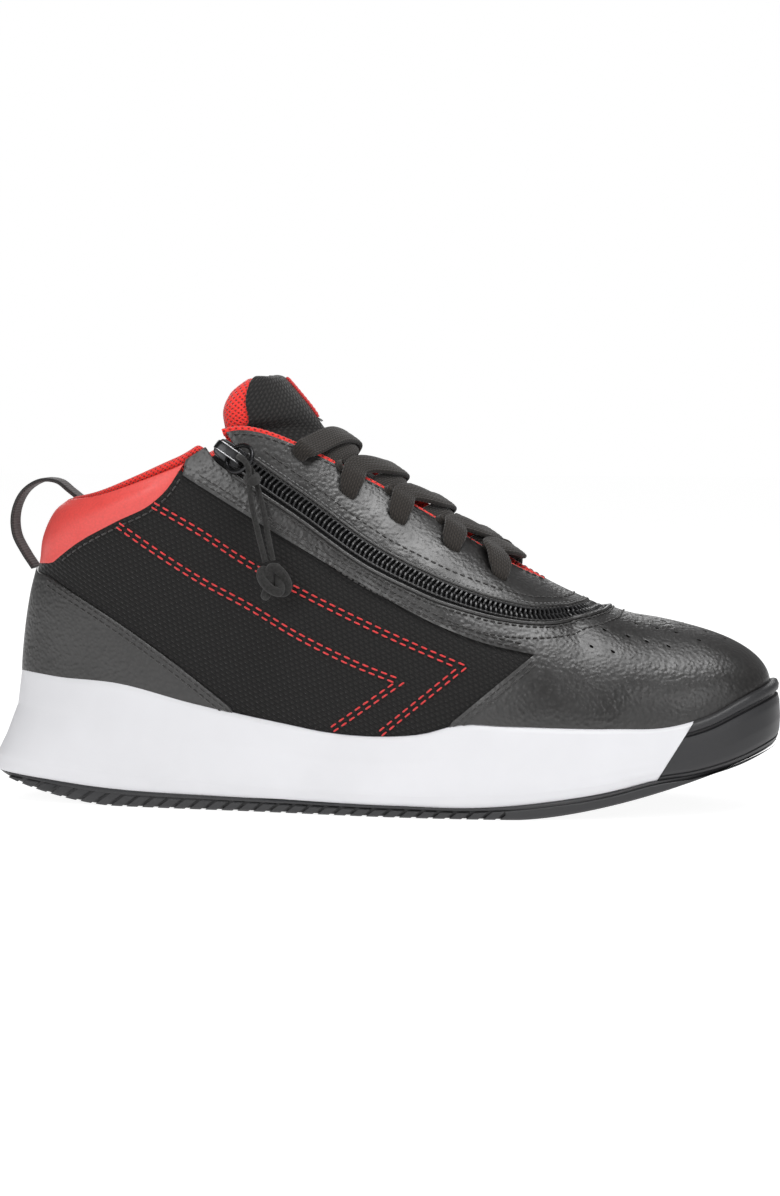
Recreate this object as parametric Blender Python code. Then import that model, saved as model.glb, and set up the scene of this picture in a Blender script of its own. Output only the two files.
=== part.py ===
"""Basketball high top with a wrap-around zip, right foot.

The shoe stands on z = 0 with its toe towards +X and its outer (lateral) side
towards -Y.  Every number below is in millimetres; finish() converts meshes.

The upper is one smooth skin: at each fraction q of the way from heel to toe a
Bezier curve climbs from the sole's feather line to the collar, the throat or
the ridge over the toes.  Panels, linings and tapes are pieces of that skin at
different depths, so they lie on one another with thin gaps between them.
"""
from math import cos, pi, radians, sin

import bmesh
import bpy
import numpy as np
from mathutils import Matrix, Vector
from mathutils.geometry import delaunay_2d_cdt

MM = 0.001
OBJECT = "basketball_high_top"

# ---- sole ----------------------------------------------------------------
HEEL_X, TOE_X = -118.0, 119.5        # ends of the feather line
FEATHER_INSET = 5.0                  # feather line inside the sole's widest line
PLAN_U = [0, .18, .36, .55, .70, .86, 1]
LATERAL_HALF = [33, 35.5, 38, 45.5, 49, 47, 44]
MEDIAL_HALF = [32, 34, 33.5, 39, 45, 46, 43]
TOE_SWING = 3.0                      # toe tip's shift towards the big toe
FEATHER_Z = [(-120, 43), (-103, 40.3), (-83, 38.8), (-58, 33), (-42, 29.6), (-29, 27.3), (-14, 24.9),
             (4, 24.3), (16, 25.4), (27, 28.4), (41, 28.2), (74, 27.2), (91, 27.5), (103, 30.8),
             (113, 36), (122, 40)]
FLOOR_Z = [(-120, 25), (-80, 23.5), (-30, 17.5), (30, 13.5), (70, 15), (95, 18.5), (121, 25)]
RUBBER_Z = [(-128, 9.2), (-108, 7.5), (-86, 5.5), (-53, 4.5), (9, 3.6), (35, 3.6), (54, 5.4),
            (73, 8.2), (87, 11.6), (99, 13.2), (112, 16.6), (124, 22)]
HEEL_ROLL_X, TOE_ROLL_X = -84.0, 45.0    # flat ground contact lies between them
MIDSOLE_RINGS = [                    # height fraction, heel x, toe x, inset
    (0.00, -127.4, 122.4, .8), (0.15, -126.9, 123.1, 0), (0.34, -123.8, 123.3, .6),
    (0.62, -120.2, 123.2, 1.8), (0.92, -119.2, 122.4, 2.9), (1.00, -118.7, 121.0, 3.9)]
BUMPER_CUT = [(104.5, 60), (97.8, 28.6), (86, 9.5), (86, -10), (140, -10), (140, 60)]
INSOLE_T, STROBEL_T = 4.5, 1.5
BOARD_LIFT = 0.3                     # board above the cup's floor
BOARD_INSET, INSOLE_INSET = 2.0, 4.9 # their edges inside the upper's skin
OUTSOLE_GAP = 0.3                    # outsole under the midsole; behind the cut it joins the bumper
BUMPER_JOIN = 0.8

# ---- upper ---------------------------------------------------------------
# q, then top x y z, its handle x y z, then the feather's handle z x y
STATIONS = [
    (0.00, -102.0, 0.0, 96.5, -10.5, 0.0, -6.5, 21, 1.5, 0.0),
    (0.10, -98.5, 16.0, 97.2, -8.0, 4.0, -9.0, 22, 1.0, 0.5),
    (0.20, -86.0, 25.5, 100.2, -2.0, 5.0, -14.0, 24, 0.5, 1.0),
    (0.30, -64.0, 28.0, 109.0, 0.0, 4.0, -20.0, 26, 0.0, 1.5),
    (0.40, -42.0, 25.0, 118.5, 2.0, 6.0, -20.0, 30, 0.0, 2.0),
    (0.50, -9.0, 14.5, 104.5, 4.0, 11.0, -14.0, 30, 0.0, 2.0),
    (0.60, 24.0, 10.0, 85.5, 6.0, 14.0, -9.0, 26, 0.0, 2.0),
    (0.66, 40.0, 6.0, 75.5, 6.0, 18.0, -6.0, 22, 0.0, 1.5),
    (0.70, 50.0, 0.0, 70.4, 7.0, 20.0, -4.5, 20, 0.0, 1.5),
    (0.80, 71.0, 0.0, 61.3, 9.0, 17.0, -3.2, 17, 1.0, 1.0),
    (0.90, 85.0, 0.8, 58.4, 13.0, 10.0, -3.0, 11, 1.0, 0.5),
    (1.00, 92.0, 1.5, 56.7, 18.0, 0.0, -3.6, 8, 0.0, 0.0)]
RIDGE_Q = 0.70                       # from here to the toe both sides meet on the ridge
SKIN_T = 1.6
TAPE = (1.95, 2.6)                   # depth ranges under the skin, outer face then inner face
STIFFENER = (1.95, 2.55)
LINING = (3.1, 4.3)
EYESTAY_LINING = (2.95, 3.75)
CHAIN = (-.6, 1.6)
KERF = 0.4                           # gap between neighbouring panels
CORNER_KERF = 0.0012                 # half the gap at the vamp's rear seam, in q
RUN_STEP = 6.0                       # spacing of outline points
LATTICE_STEP = 7.5                   # spacing of points inside a panel
PANEL_FOOT = -1.0                    # t of the panels' lower edge, inside the sole's cup
COLLAR_RIM_T, BAND_TOP_T = .955, .955
COLLAR_ROLL = [                      # t and depth round the collar padding's section
    (.77, 2.15), (.86, 2.15), (.966, 2.1), (.992, .6), (1.0, 2.2), (1.0, 5.0), (.96, 7.4), (.90, 8.2),
    (.83, 8.0), (.77, 6.0)]
COLLAR_FROM, COLLAR_TO = -.352, .347 # run of the padding from the fold round the heel to the zip
LINING_LAP = 1.6                     # lining's edge under the zip's lower tape
LINING_HEM = 2.2                     # lining's lower edge above the cup's floor

# seams as seen from the side (x, z); both sides of the shoe share them
ZIP_SEAM = [(-50, 113.1), (-25, 95.9), (0, 78.8), (10, 73.9), (23, 68.5), (38, 63.8), (53, 61.5),
            (61.5, 62.3)]
ZIP_RIDGE_X = 66.0                   # the zip crosses the ridge here
FOLD_SEAM = [(-46, 112.3), (6, 87.3), (58, 62.1)]
BAND_EDGE = [(-61, 104), (-40, 91.3), (-9, 73.2), (20, 58.3), (34, 53.2), (49.5, 49.6)]
VAMP_REAR = [(49.5, 49.6), (36.5, 38.9), (23.7, 28.2)]
HEEL_EDGE = [(-106.5, 71.5), (-88, 61), (-66, 46.7), (-44.5, 30.8)]
COLLAR_EDGE = [(-105.5, 75.5), (-96, 82.2), (-83, 89), (-70.5, 95.3), (-65.5, 100.2), (-62.3, 105.2)]
EYELETS = [(-25.8, 110.4), (-10.4, 98.6), (5.2, 90.4), (22, 81.8), (37, 72.9)]

ZIP_HALF = 2.9                       # half width of the closed chain
TAPE_W = 8.0
EYESTAY_LAP, BAND_LAP = 3.3, 4.6     # distance of the leather edges from the zip's middle
FOLD_LAP = 0.5
ZIP_TOP_Q = 0.362                    # where the zip meets the collar
CHAIN_START_Q = 0.398                # the chain shows from just below the slider
CHAIN_END_GAP, STOP_GAP = .035, .028 # chain's end and stop before the zip's end, in w
STRIP_STEP = 4.0
STOP_HALF = (.9, 2.8)                # half length and half width of the zip stop
SLIDER_AT = (-46.2, 110.5, 1.4)      # side view x, z and height above the skin
SLIDER_L, SLIDER_W, SLIDER_T = 9.5, 6.2, 1.2
SLIDER_BLOCKS = {                    # lowest and highest corner: down the zip, across it, out
    "slider_post_top": ((-3.6, -1, .8), (-2.0, 1, 3.4)),
    "slider_post_low": ((2.4, -.9, .8), (4.0, .9, 3.4)),
    "slider_bar": ((-3.4, -1.1, 3.1), (3.8, 1.1, 4.2))}

RING_R, RING_WIRE, RING_TILT = 4.6, 0.7, 35
EYE_DOWN, EYE_OUT = 0.2, 2.15        # ring's hinge under the bridge, from the slider's origin
CORD_R = 0.9
KNOT = (-30.2, -42.6, 72.2)
KNOT_HALF = (4.4, 3.6, 5.8)
CORD_ROUTE = [                       # knot, up behind the ring, over its wire, down in front to the knot
    (-30.5, -41.4, 78.5), (-32, -40.1, 84.5), (-33.3, -38.4, 90.5), (-35, -36.5, 96.5), (-36.9, -34.6, 102),
    (-39, -33, 106.6), (-40.4, -33.2, 108.3), (-41.6, -34.6, 109.4), (-42, -36.5, 110), (-41.4, -38.3, 110),
    (-40, -39.6, 109.5), (-38.6, -40.3, 107.8), (-38, -40.5, 102), (-37.3, -40.5, 96), (-36, -40.5, 90),
    (-34.5, -40.8, 84), (-32.8, -41.7, 78)]
LOOP_PATH = [(-103.6, 98.2), (-107, 100.8), (-112, 101.4), (-118, 98.2), (-121.6, 91), (-121.4, 84),
             (-118.4, 78), (-115.2, 73.2)]
LOOP_W, LOOP_T = 10.0, 1.3
FOLD_PIVOT = (6.0, 23.3, 87.8)       # the throat panel turns about the medial fold here

# ---- tongue --------------------------------------------------------------
TONGUE_RIDGE = [(.385, -21.5, 117.6), (.42, -15.8, 112.0), (.5, -3.6, 101.0), (.6, 25.0, 80.6),
                (.66, 40.2, 69.6), (.70, 50.2, 64.6), (.735, 57.2, 61.2)]
TONGUE_TOP = [                       # ridge x z, edge x y z
    (-25.6, 123.6, -49.5, 21.5, 120.0), (-30.2, 129.2, -50.0, 20.5, 126.0),
    (-34.0, 133.4, -48.4, 17.0, 131.5), (-38.0, 136.1, -45.0, 9.5, 135.2)]

PAD_DEPTHS = (2.2, 3.0, 4.4)         # tongue foam from the front to the top
TONGUE_GAP = 0.55                    # foam to its knit lining
LABEL_GAP, LABEL_T = 0.35, 0.9

# ---- laces ---------------------------------------------------------------
LACE_HALF_W, LACE_HALF_T = 3.4, 0.75
LACE_LIFT = 2.14                     # middle of the lace above the eyestay
LACE_CREST = 2.4                     # and above the throat's middle line
OVER_LIFT, BAR_LIFT = 1.0, 1.4       # extra height where a pass crosses over the others
# Passes differ by these small steps, so that no two faces of the lace coincide.
WIDTH_STEP, THICK_STEP, LIFT_STEP, Q_NEAR_STEP, Q_FAR_STEP = .05, .02, .03, .0022, .0026

COLOURS = {
    "leather_black": (.018, .016, .015), "mesh_black": (.014, .013, .013), "leather_red": (.75, .11, .10),
    "mesh_red": (.82, .045, .03), "midsole_white": (.76, .76, .79), "rubber_grey": (.045, .045, .048),
    "tape_black": (.012, .012, .012), "chain_black": (.03, .03, .03), "metal_grey": (.35, .35, .36),
    "lace_black": (.032, .025, .02), "board": (.5, .45, .38), "foam_black": (.03, .03, .03),
    "webbing_black": (.03, .028, .028), "label_red": (.6, .05, .04)}


# ---- small tools ---------------------------------------------------------
def smooth(knots, values, x):
    """Smooth cubic through (knot, value) pairs; the values may be vectors."""
    knots = np.asarray(knots, float)
    values = np.asarray(values, float)
    v = values if values.ndim > 1 else values[:, None]
    x = np.clip(np.asarray(x, float), knots[0], knots[-1])
    h = np.diff(knots)
    d = np.diff(v, axis=0) / h[:, None]
    m = np.empty_like(v)
    m[0], m[-1] = d[0], d[-1]
    m[1:-1] = (d[:-1] * h[1:, None] + d[1:] * h[:-1, None]) / (h[1:] + h[:-1])[:, None]
    i = np.clip(np.searchsorted(knots, x, side="right") - 1, 0, len(knots) - 2)
    t = ((x - knots[i]) / h[i])[..., None]
    hi = h[i][..., None]
    out = ((2 * t**3 - 3 * t**2 + 1) * v[i] + (t**3 - 2 * t**2 + t) * hi * m[i]
           + (-2 * t**3 + 3 * t**2) * v[i + 1] + (t**3 - t**2) * hi * m[i + 1])
    return out if values.ndim > 1 else out[..., 0]


def height(table, x):
    knots, values = zip(*table)
    return smooth(knots, values, x)


def unit(v):
    return v / np.maximum(np.linalg.norm(v, axis=-1, keepdims=True), 1e-9)


def along(points, count):
    """A smooth curve through 2-D points, resampled to count even steps."""
    pts = np.asarray(points, float)
    s = np.concatenate([[0], np.cumsum(np.linalg.norm(np.diff(pts, axis=0), axis=1))])
    return smooth(s, pts, np.linspace(0, s[-1], count))


def resample(points, step):
    """Even steps along a polyline of surface coordinates, measured on the skin."""
    pts = np.asarray(points, float)
    xyz = skin(pts[:, 0], pts[:, 1])
    s = np.concatenate([[0], np.cumsum(np.linalg.norm(np.diff(xyz, axis=0), axis=1))])
    count = max(2, int(round(s[-1] / step)) + 1)
    at = np.linspace(0, s[-1], count)
    return np.stack([np.interp(at, s, pts[:, 0]), np.interp(at, s, pts[:, 1])], 1)


def bezier(a, b, c, d, count):
    s = np.linspace(0, 1, count)[:, None]
    return (1 - s)**3 * a + 3 * (1 - s)**2 * s * b + 3 * (1 - s) * s**2 * c + s**3 * d


# ---- surfaces ------------------------------------------------------------
def plan(q, side, heel, toe, inset):
    """Sole outline: q runs 0 heel to 1 toe, side is -1 lateral or +1 medial."""
    u = (1 - np.cos(pi * q)) / 2
    half = np.where(side < 0, smooth(PLAN_U, LATERAL_HALF, u), smooth(PLAN_U, MEDIAL_HALF, u)) - inset
    blunt = np.where(u < .5, .62, .66)
    y = side * half * np.sin(pi * np.clip(q, 0, 1))**blunt + TOE_SWING * smooth([0, .6, 1], [0, 0, 1], u)
    return heel + (toe - heel) * u, y


def fold(w):
    """Split the run-around coordinate w into q and side; w < 0 and w > 1 are medial."""
    w = np.asarray(w, float)
    side = np.where((w < 0) | (w > 1), 1.0, -1.0)
    return np.where(w > 1, 2 - w, np.abs(w)), side


def skin(w, t):
    """Point on the upper's outside. t: -1 cup floor, 0 feather line, 1 top."""
    w, t = np.broadcast_arrays(np.asarray(w, float), np.asarray(t, float))
    q, side = fold(w)
    row = smooth([s[0] for s in STATIONS], [s[1:] for s in STATIONS], q)
    x, y = plan(q, side, HEEL_X, TOE_X, FEATHER_INSET)
    feather = height(FEATHER_Z, x) - 1.0
    base = np.stack([x, y, feather], -1)
    across = np.where(q >= RIDGE_Q, 1.0, side)
    top = np.stack([row[..., 0], across * row[..., 1], row[..., 2]], -1)
    handle_top = top + np.stack([row[..., 3], side * row[..., 4], row[..., 5]], -1)
    handle_base = base + np.stack([row[..., 7], side * row[..., 8], row[..., 6]], -1)
    s = np.clip(t, 0, None)[..., None]
    point = ((1 - s)**3 * base + 3 * (1 - s)**2 * s * handle_base
             + 3 * (1 - s) * s**2 * handle_top + s**3 * top)
    point[..., 2] += np.clip(t, None, 0) * (feather - height(FLOOR_Z, x) - 0.3)
    return point


def normal(w, t):
    w, t = np.broadcast_arrays(np.asarray(w, float), np.asarray(t, float))
    e = 1e-3
    across = skin(w + e, t) - skin(w - e, t)
    up = skin(w, t + e) - skin(w, t - e)
    n = np.cross(across, up)
    q, _ = fold(w)
    crest = skin(np.minimum(q + e, 1), 1.0) - skin(q - e, 1.0)
    upright = np.stack([-crest[..., 2], np.zeros_like(q), crest[..., 0]], -1)
    ridge = (t > 1 - 1e-6) & (q >= RIDGE_Q)
    return unit(np.where(ridge[..., None], upright, n))


def layer(w, t, depth):
    return skin(w, t) - normal(w, t) * depth


def on_skin(points):
    """Surface coordinates (q, t) of lateral points given as seen from the side."""
    goal = np.asarray(points, float)
    gq, gt = np.meshgrid(np.linspace(.02, .98, 97), np.linspace(0, 1, 51), indexing="ij")
    grid = skin(gq, gt)[..., [0, 2]].reshape(-1, 2)
    near = np.argmin(((goal[:, None] - grid[None])**2).sum(-1), 1)
    q, t = gq.ravel()[near].copy(), gt.ravel()[near].copy()
    for _ in range(12):
        e = 1e-4
        here = skin(q, t)[:, [0, 2]]
        dq = (skin(q + e, t)[:, [0, 2]] - here) / e
        dt = (skin(q, t + e)[:, [0, 2]] - here) / e
        det = dq[:, 0] * dt[:, 1] - dq[:, 1] * dt[:, 0]
        miss = goal - here
        q = q + np.clip((miss[:, 0] * dt[:, 1] - miss[:, 1] * dt[:, 0]) / det, -.02, .02)
        t = np.clip(t + np.clip((dq[:, 0] * miss[:, 1] - dq[:, 1] * miss[:, 0]) / det, -.04, .04), -.5, 1)
    return np.stack([q, t], 1)


def shift(path, distance):
    """Move a surface path sideways by distance, positive towards the throat."""
    path = np.asarray(path, float)
    w, t = path.T
    xyz = skin(w, t)
    tangent = np.gradient(xyz, axis=0)
    ridge = t > 1 - 1e-6
    q, _ = fold(w)
    ridge &= q >= RIDGE_Q
    tangent[ridge] = (0, 1, 0)
    sideways = unit(np.cross(normal(w, t), unit(tangent)))
    e = 1e-3
    dw = (skin(w + e, t) - skin(w - e, t)) / (2 * e)
    dt = (skin(w, t + e) - skin(w, t - e)) / (2 * e)
    goal = sideways * np.broadcast_to(np.asarray(distance, float), w.shape)[:, None]
    a, b, c = (dw * dw).sum(1), (dw * dt).sum(1), (dt * dt).sum(1)
    d, f = (dw * goal).sum(1), (dt * goal).sum(1)
    det = a * c - b * b
    new_w = w + np.where(ridge, d / a, (d * c - f * b) / det)
    new_t = t + np.where(ridge, 0, (f * a - d * b) / det)
    return np.stack([new_w, new_t], 1)


# ---- mesh builders -------------------------------------------------------
def finish(name, verts, faces, colour, weld=0.0):
    """Make the object, weld it, point its faces outwards and colour it."""
    mesh = bpy.data.meshes.new(name)
    mesh.from_pydata([tuple(float(c) * MM for c in v) for v in verts], [], [tuple(f) for f in faces])
    bm = bmesh.new()
    bm.from_mesh(mesh)
    if weld:
        bmesh.ops.remove_doubles(bm, verts=bm.verts, dist=weld * MM)
    bmesh.ops.recalc_face_normals(bm, faces=bm.faces)
    bm.to_mesh(mesh)
    bm.free()
    obj = bpy.data.objects.new(name, mesh)
    collection(OBJECT).objects.link(obj)
    mesh.materials.append(material(colour))
    return obj


def collection(name):
    found = bpy.data.collections.get(name)
    if not found:
        found = bpy.data.collections.new(name)
        bpy.context.scene.collection.children.link(found)
    return found


def move_to(obj, name):
    """Keep the object in one collection only."""
    for old in list(obj.users_collection):
        old.objects.unlink(obj)
    collection(name).objects.link(obj)


def material(slot):
    found = bpy.data.materials.get(slot)
    if found:
        return found
    made = bpy.data.materials.new(slot)
    made.use_nodes = True
    shader = made.node_tree.nodes["Principled BSDF"]
    shader.inputs["Base Color"].default_value = (*COLOURS[slot], 1)
    shader.inputs["Roughness"].default_value = 0.6
    return made


def slab(name, outer, inner, colour, weld=0.0):
    """Closed solid between two grids of points of the same shape."""
    rows, cols = outer.shape[:2]
    verts = np.concatenate([outer.reshape(-1, 3), inner.reshape(-1, 3)])
    size = rows * cols

    def at(r, c, deep):
        return deep * size + r * cols + c
    faces = []
    for r in range(rows - 1):
        for c in range(cols - 1):
            faces.append((at(r, c, 0), at(r, c + 1, 0), at(r + 1, c + 1, 0), at(r + 1, c, 0)))
            faces.append((at(r, c, 1), at(r + 1, c, 1), at(r + 1, c + 1, 1), at(r, c + 1, 1)))
    edge = [(0, c) for c in range(cols)] + [(r, cols - 1) for r in range(1, rows)]
    edge += [(rows - 1, c) for c in range(cols - 2, -1, -1)] + [(r, 0) for r in range(rows - 2, 0, -1)]
    for here, there in zip(edge, edge[1:] + edge[:1]):
        faces.append((at(*here, 0), at(*here, 1), at(*there, 1), at(*there, 0)))
    return finish(name, verts, faces, colour, weld)


def tube(name, sections, colour, closed=False, weld=0.0):
    """Closed solid through a list of loops, capped at both ends unless closed."""
    sections = [np.asarray(s, float) for s in sections]
    n = len(sections[0])
    verts = np.concatenate(sections)
    count = len(sections)
    faces = []
    for k in range(count if closed else count - 1):
        a, b = k * n, (k + 1) % count * n
        for i in range(n):
            j = (i + 1) % n
            faces.append((a + i, a + j, b + j, b + i))
    if not closed:
        for start in (0, (count - 1) * n):
            faces += cap(start, n)
    return finish(name, verts, faces, colour, weld)


def cap(start, n):
    """Quads across a loop whose points i and n - i face one another."""
    faces = []
    for i in range(n // 2):
        ring = (start + i, start + i + 1, start + n - i - 1, start + (n - i) % n)
        faces.append(tuple(dict.fromkeys(ring)))
    return [f for f in faces if len(f) > 2]


def flat(path):
    """Surface coordinates to a nearly even flat pattern, in millimetres."""
    w, t = np.asarray(path, float).T
    return np.stack([w * 300, np.where(t > 0, t * 75, t * 16)], 1)


def unflat(points):
    x, y = np.asarray(points, float).T
    return np.stack([x / 300, np.where(y > 0, y / 75, y / 16)], 1)


def inside(points, loop):
    x, y = points.T
    hit = np.zeros(len(points), bool)
    for (x0, y0), (x1, y1) in zip(loop, np.roll(loop, -1, 0)):
        if abs(y1 - y0) < 1e-12:
            continue
        cross = (y0 > y) != (y1 > y)
        hit ^= cross & (x < (x1 - x0) * (y - y0) / (y1 - y0) + x0)
    return hit


def clear_of(points, loop, gap):
    best = np.full(len(points), 1e9)
    for a, b in zip(loop, np.roll(loop, -1, 0)):
        d = b - a
        s = np.clip(((points - a) @ d) / max(d @ d, 1e-12), 0, 1)
        best = np.minimum(best, np.linalg.norm(points - a - s[:, None] * d, axis=1))
    return best > gap


def panel(name, outlines, top, under, colour, step=LATTICE_STEP):
    """Cut pattern pieces out of the skin between two depths and join them on the ridge."""
    verts, faces = [], []
    for outline in outlines:
        loop = flat(outline)
        keep = np.linalg.norm(loop - np.roll(loop, 1, 0), axis=1) > .15
        loop = loop[keep]
        low, high = loop.min(0), loop.max(0)
        gx, gy = np.meshgrid(np.arange(low[0] + step / 2, high[0], step),
                             np.arange(low[1] + step / 2, high[1], step))
        lattice = np.stack([gx.ravel(), gy.ravel()], 1)
        lattice = lattice[inside(lattice, loop)]
        lattice = lattice[clear_of(lattice, loop, .55 * step)]
        points = np.concatenate([loop, lattice])
        edges = [(i, (i + 1) % len(loop)) for i in range(len(loop))]
        out = delaunay_2d_cdt([Vector(p) for p in points], edges, [], 1, 1e-4)
        wt = unflat([tuple(p) for p in out[0]])
        wt[:, 1] = np.where(np.abs(wt[:, 1] - 1) < 1e-5, 1, wt[:, 1])
        base, size = len(verts), len(wt)
        verts += list(layer(wt[:, 0], wt[:, 1], top)) + list(layer(wt[:, 0], wt[:, 1], under))
        q, _ = fold(wt[:, 0])
        ridge = (wt[:, 1] == 1) & (q >= RIDGE_Q - 1e-6)
        uses = {}
        for a, b, c in out[2]:
            faces.append((base + a, base + b, base + c))
            faces.append((base + size + c, base + size + b, base + size + a))
            for pair in ((a, b), (b, c), (c, a)):
                uses[tuple(sorted(pair))] = uses.get(tuple(sorted(pair)), 0) + 1
        for (a, b), count in uses.items():
            if count == 1 and not (ridge[a] and ridge[b]):
                faces.append((base + a, base + b, base + size + b, base + size + a))
    return finish(name, verts, faces, colour, 0.004)


def prism(name, outline, low, high):
    """Cutter with a side-view outline, running across the shoe."""
    n = len(outline)
    verts = [(x, low, z) for x, z in outline] + [(x, high, z) for x, z in outline]
    faces = [tuple(range(n)), tuple(range(2 * n - 1, n - 1, -1))]
    faces += [(i, n + i, n + (i + 1) % n, (i + 1) % n) for i in range(n)]
    return hide_as_cutter(finish(name, verts, faces, "board"))


def combine(obj, other, operation):
    step = obj.modifiers.new(operation.lower(), "BOOLEAN")
    step.operation = operation
    step.solver = "EXACT"
    step.object = other
    return obj


def hide_as_cutter(obj):
    obj.hide_render = True
    obj.display_type = "WIRE"
    move_to(obj, "cutters")
    return obj


# ---- seam paths ----------------------------------------------------------
def medial(path):
    """The same path on the medial side, as a toe-centred coordinate."""
    return np.stack([2 - path[:, 0], path[:, 1]], 1)


def ridge_q(x):
    """q at which the ridge has a given x."""
    qs = np.linspace(RIDGE_Q, 1, 601)
    return float(np.interp(x, skin(qs, np.ones_like(qs))[:, 0], qs))


def zip_half():
    """The zip's middle on one side: collar to ridge, as (q, t)."""
    side = on_skin(along(ZIP_SEAM, 44))
    start = np.array([[ZIP_TOP_Q, 1.0]])
    end = np.array([[ridge_q(ZIP_RIDGE_X), 1.0]])
    lead = side[-1] + (end[0] - side[-1]) * np.array([[.55, .45]])
    return np.concatenate([start, side[1:], lead, end])


def fold_line():
    """The medial fold, collar to zip end, as (q, t)."""
    path = on_skin(along(FOLD_SEAM, 30))
    return np.concatenate([[[path[0, 0] - .012, 1.0]], path])


def zip_whole():
    """Zip path from the lateral collar round the front to its medial end."""
    half = zip_half()
    back = medial(half)[::-1][1:]
    end = fold_line()[-1]
    keep = back[:, 0] < 2 - end[0] - .004
    return np.concatenate([half, back[keep], [[2 - end[0], end[1]]]])


def split_path(path):
    """Part a zip-like path into its lateral and medial runs, both ending on the ridge."""
    at = 3 + int(np.argmax(path[3:, 1] > 1 - 1e-6))
    back = path[at:].copy()
    back[0, 0] = 2 - back[0, 0]
    return path[:at + 1], back


def start_at(path, top):
    """Cut off the start of a descending path so that it begins exactly at height top."""
    first = int(np.argmax(path[:, 1] < top - .004))
    if first == 0:
        return np.concatenate([[[path[0, 0], top]], path])
    a, b = path[first - 1], path[first]
    f = (a[1] - top) / (a[1] - b[1])
    return np.concatenate([[[a[0] + f * (b[0] - a[0]), top]], path[first:]])


# ---- parts ---------------------------------------------------------------
def ring(heel, toe, inset, z_of, n=72):
    w = np.arange(n) / n * 2
    q, side = fold(w)
    x, y = plan(q, side, heel, toe, inset)
    return np.stack([x, y, z_of(x)], -1)


def feather_ring(depth, z_of, n=72):
    w = np.arange(n) / n * 2
    p = layer(w, np.full(n, -.5), depth)
    p[:, 2] = z_of(p[:, 0])
    return p


def ground(x):
    heel = np.clip((HEEL_ROLL_X - x) / 36, 0, None)**1.6 * 6.5
    toe = np.clip((x - TOE_ROLL_X) / 74, 0, None)**1.6 * 18.5
    return heel + toe


def rubber_top(x):
    return height(RUBBER_Z, x)


def cup_floor(x):
    return height(FLOOR_Z, x)


def feather_top(x):
    return height(FEATHER_Z, x)


def wall_height(x, fraction):
    """Height on the midsole's side wall, from the rubber to the feather line."""
    return rubber_top(x) + fraction * (feather_top(x) - rubber_top(x))


def cup_block(name):
    """The whole side wall of the sole above the rubber, with the foot's cup in it."""
    loops = []
    for f, heel, toe, inset in MIDSOLE_RINGS:
        loops.append(ring(heel, toe, inset, lambda x, f=f: wall_height(x, f)))
    loops.append(feather_ring(-.35, lambda x: feather_top(x) - .3))
    loops.append(feather_ring(-.35, cup_floor))
    return tube(name, loops, "midsole_white")


def sole():
    midsole = cup_block("midsole")
    wider = [(x - .3 if x < 120 else x, z) for x, z in BUMPER_CUT]
    combine(midsole, prism("bumper_space", wider, -80, 80), "DIFFERENCE")
    bumper = cup_block("toe_bumper")
    combine(bumper, prism("bumper_zone", BUMPER_CUT, -80, 80), "INTERSECT")

    def top(x):
        return rubber_top(x) - OUTSOLE_GAP + BUMPER_JOIN * np.clip((x - 86.5) / 3, 0, 1)
    slab_rings = [
        ring(-121.5, 117.0, 5.0, ground),
        ring(-126.2, 121.6, 1.4, lambda x: ground(x) + .5 * (top(x) - ground(x))),
        ring(-127.0, 122.2, 1.0, top)]
    outsole = tube("outsole", slab_rings, "rubber_grey")
    combine(outsole, bumper, "UNION")
    hide_as_cutter(bumper)
    sole_plate("strobel_board", BOARD_INSET, BOARD_LIFT, STROBEL_T, "board")
    sole_plate("insole", INSOLE_INSET, 2 * BOARD_LIFT + STROBEL_T, INSOLE_T, "foam_black")


def sole_plate(name, inset, low, thick, colour):
    """A plate inside the cup, low millimetres above its floor."""
    tube(name, [feather_ring(inset, lambda x: cup_floor(x) + low),
                feather_ring(inset, lambda x: cup_floor(x) + low + thick)], colour)


def lining_top(w):
    """Height of the lining's edge: level at the collar, then just under the zip or fold."""
    q, side = fold(w)
    zip_run = shift(zip_half()[:-1], -LINING_LAP)
    fold_run = fold_line()
    zip_edge = np.interp(q, zip_run[:, 0], zip_run[:, 1], right=2)
    fold_edge = np.interp(q, fold_run[:, 0], fold_run[:, 1], right=2) - .025
    zip_end = 1 - .02
    front = shift(zip_half(), -LINING_LAP)[-1, 0]
    climb = np.interp(q, [zip_run[-1, 0], front], [zip_run[-1, 1], 1])
    zip_edge = np.where(q > zip_run[-1, 0], climb, zip_edge)
    past = q > fold_run[-1, 0]
    edge = np.where(side < 0, zip_edge, np.where(past, zip_edge, np.minimum(fold_edge, zip_end)))
    edge = np.where(q >= front, 1, edge)
    return np.minimum(edge, np.where(q < .5, .74, 1))


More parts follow.
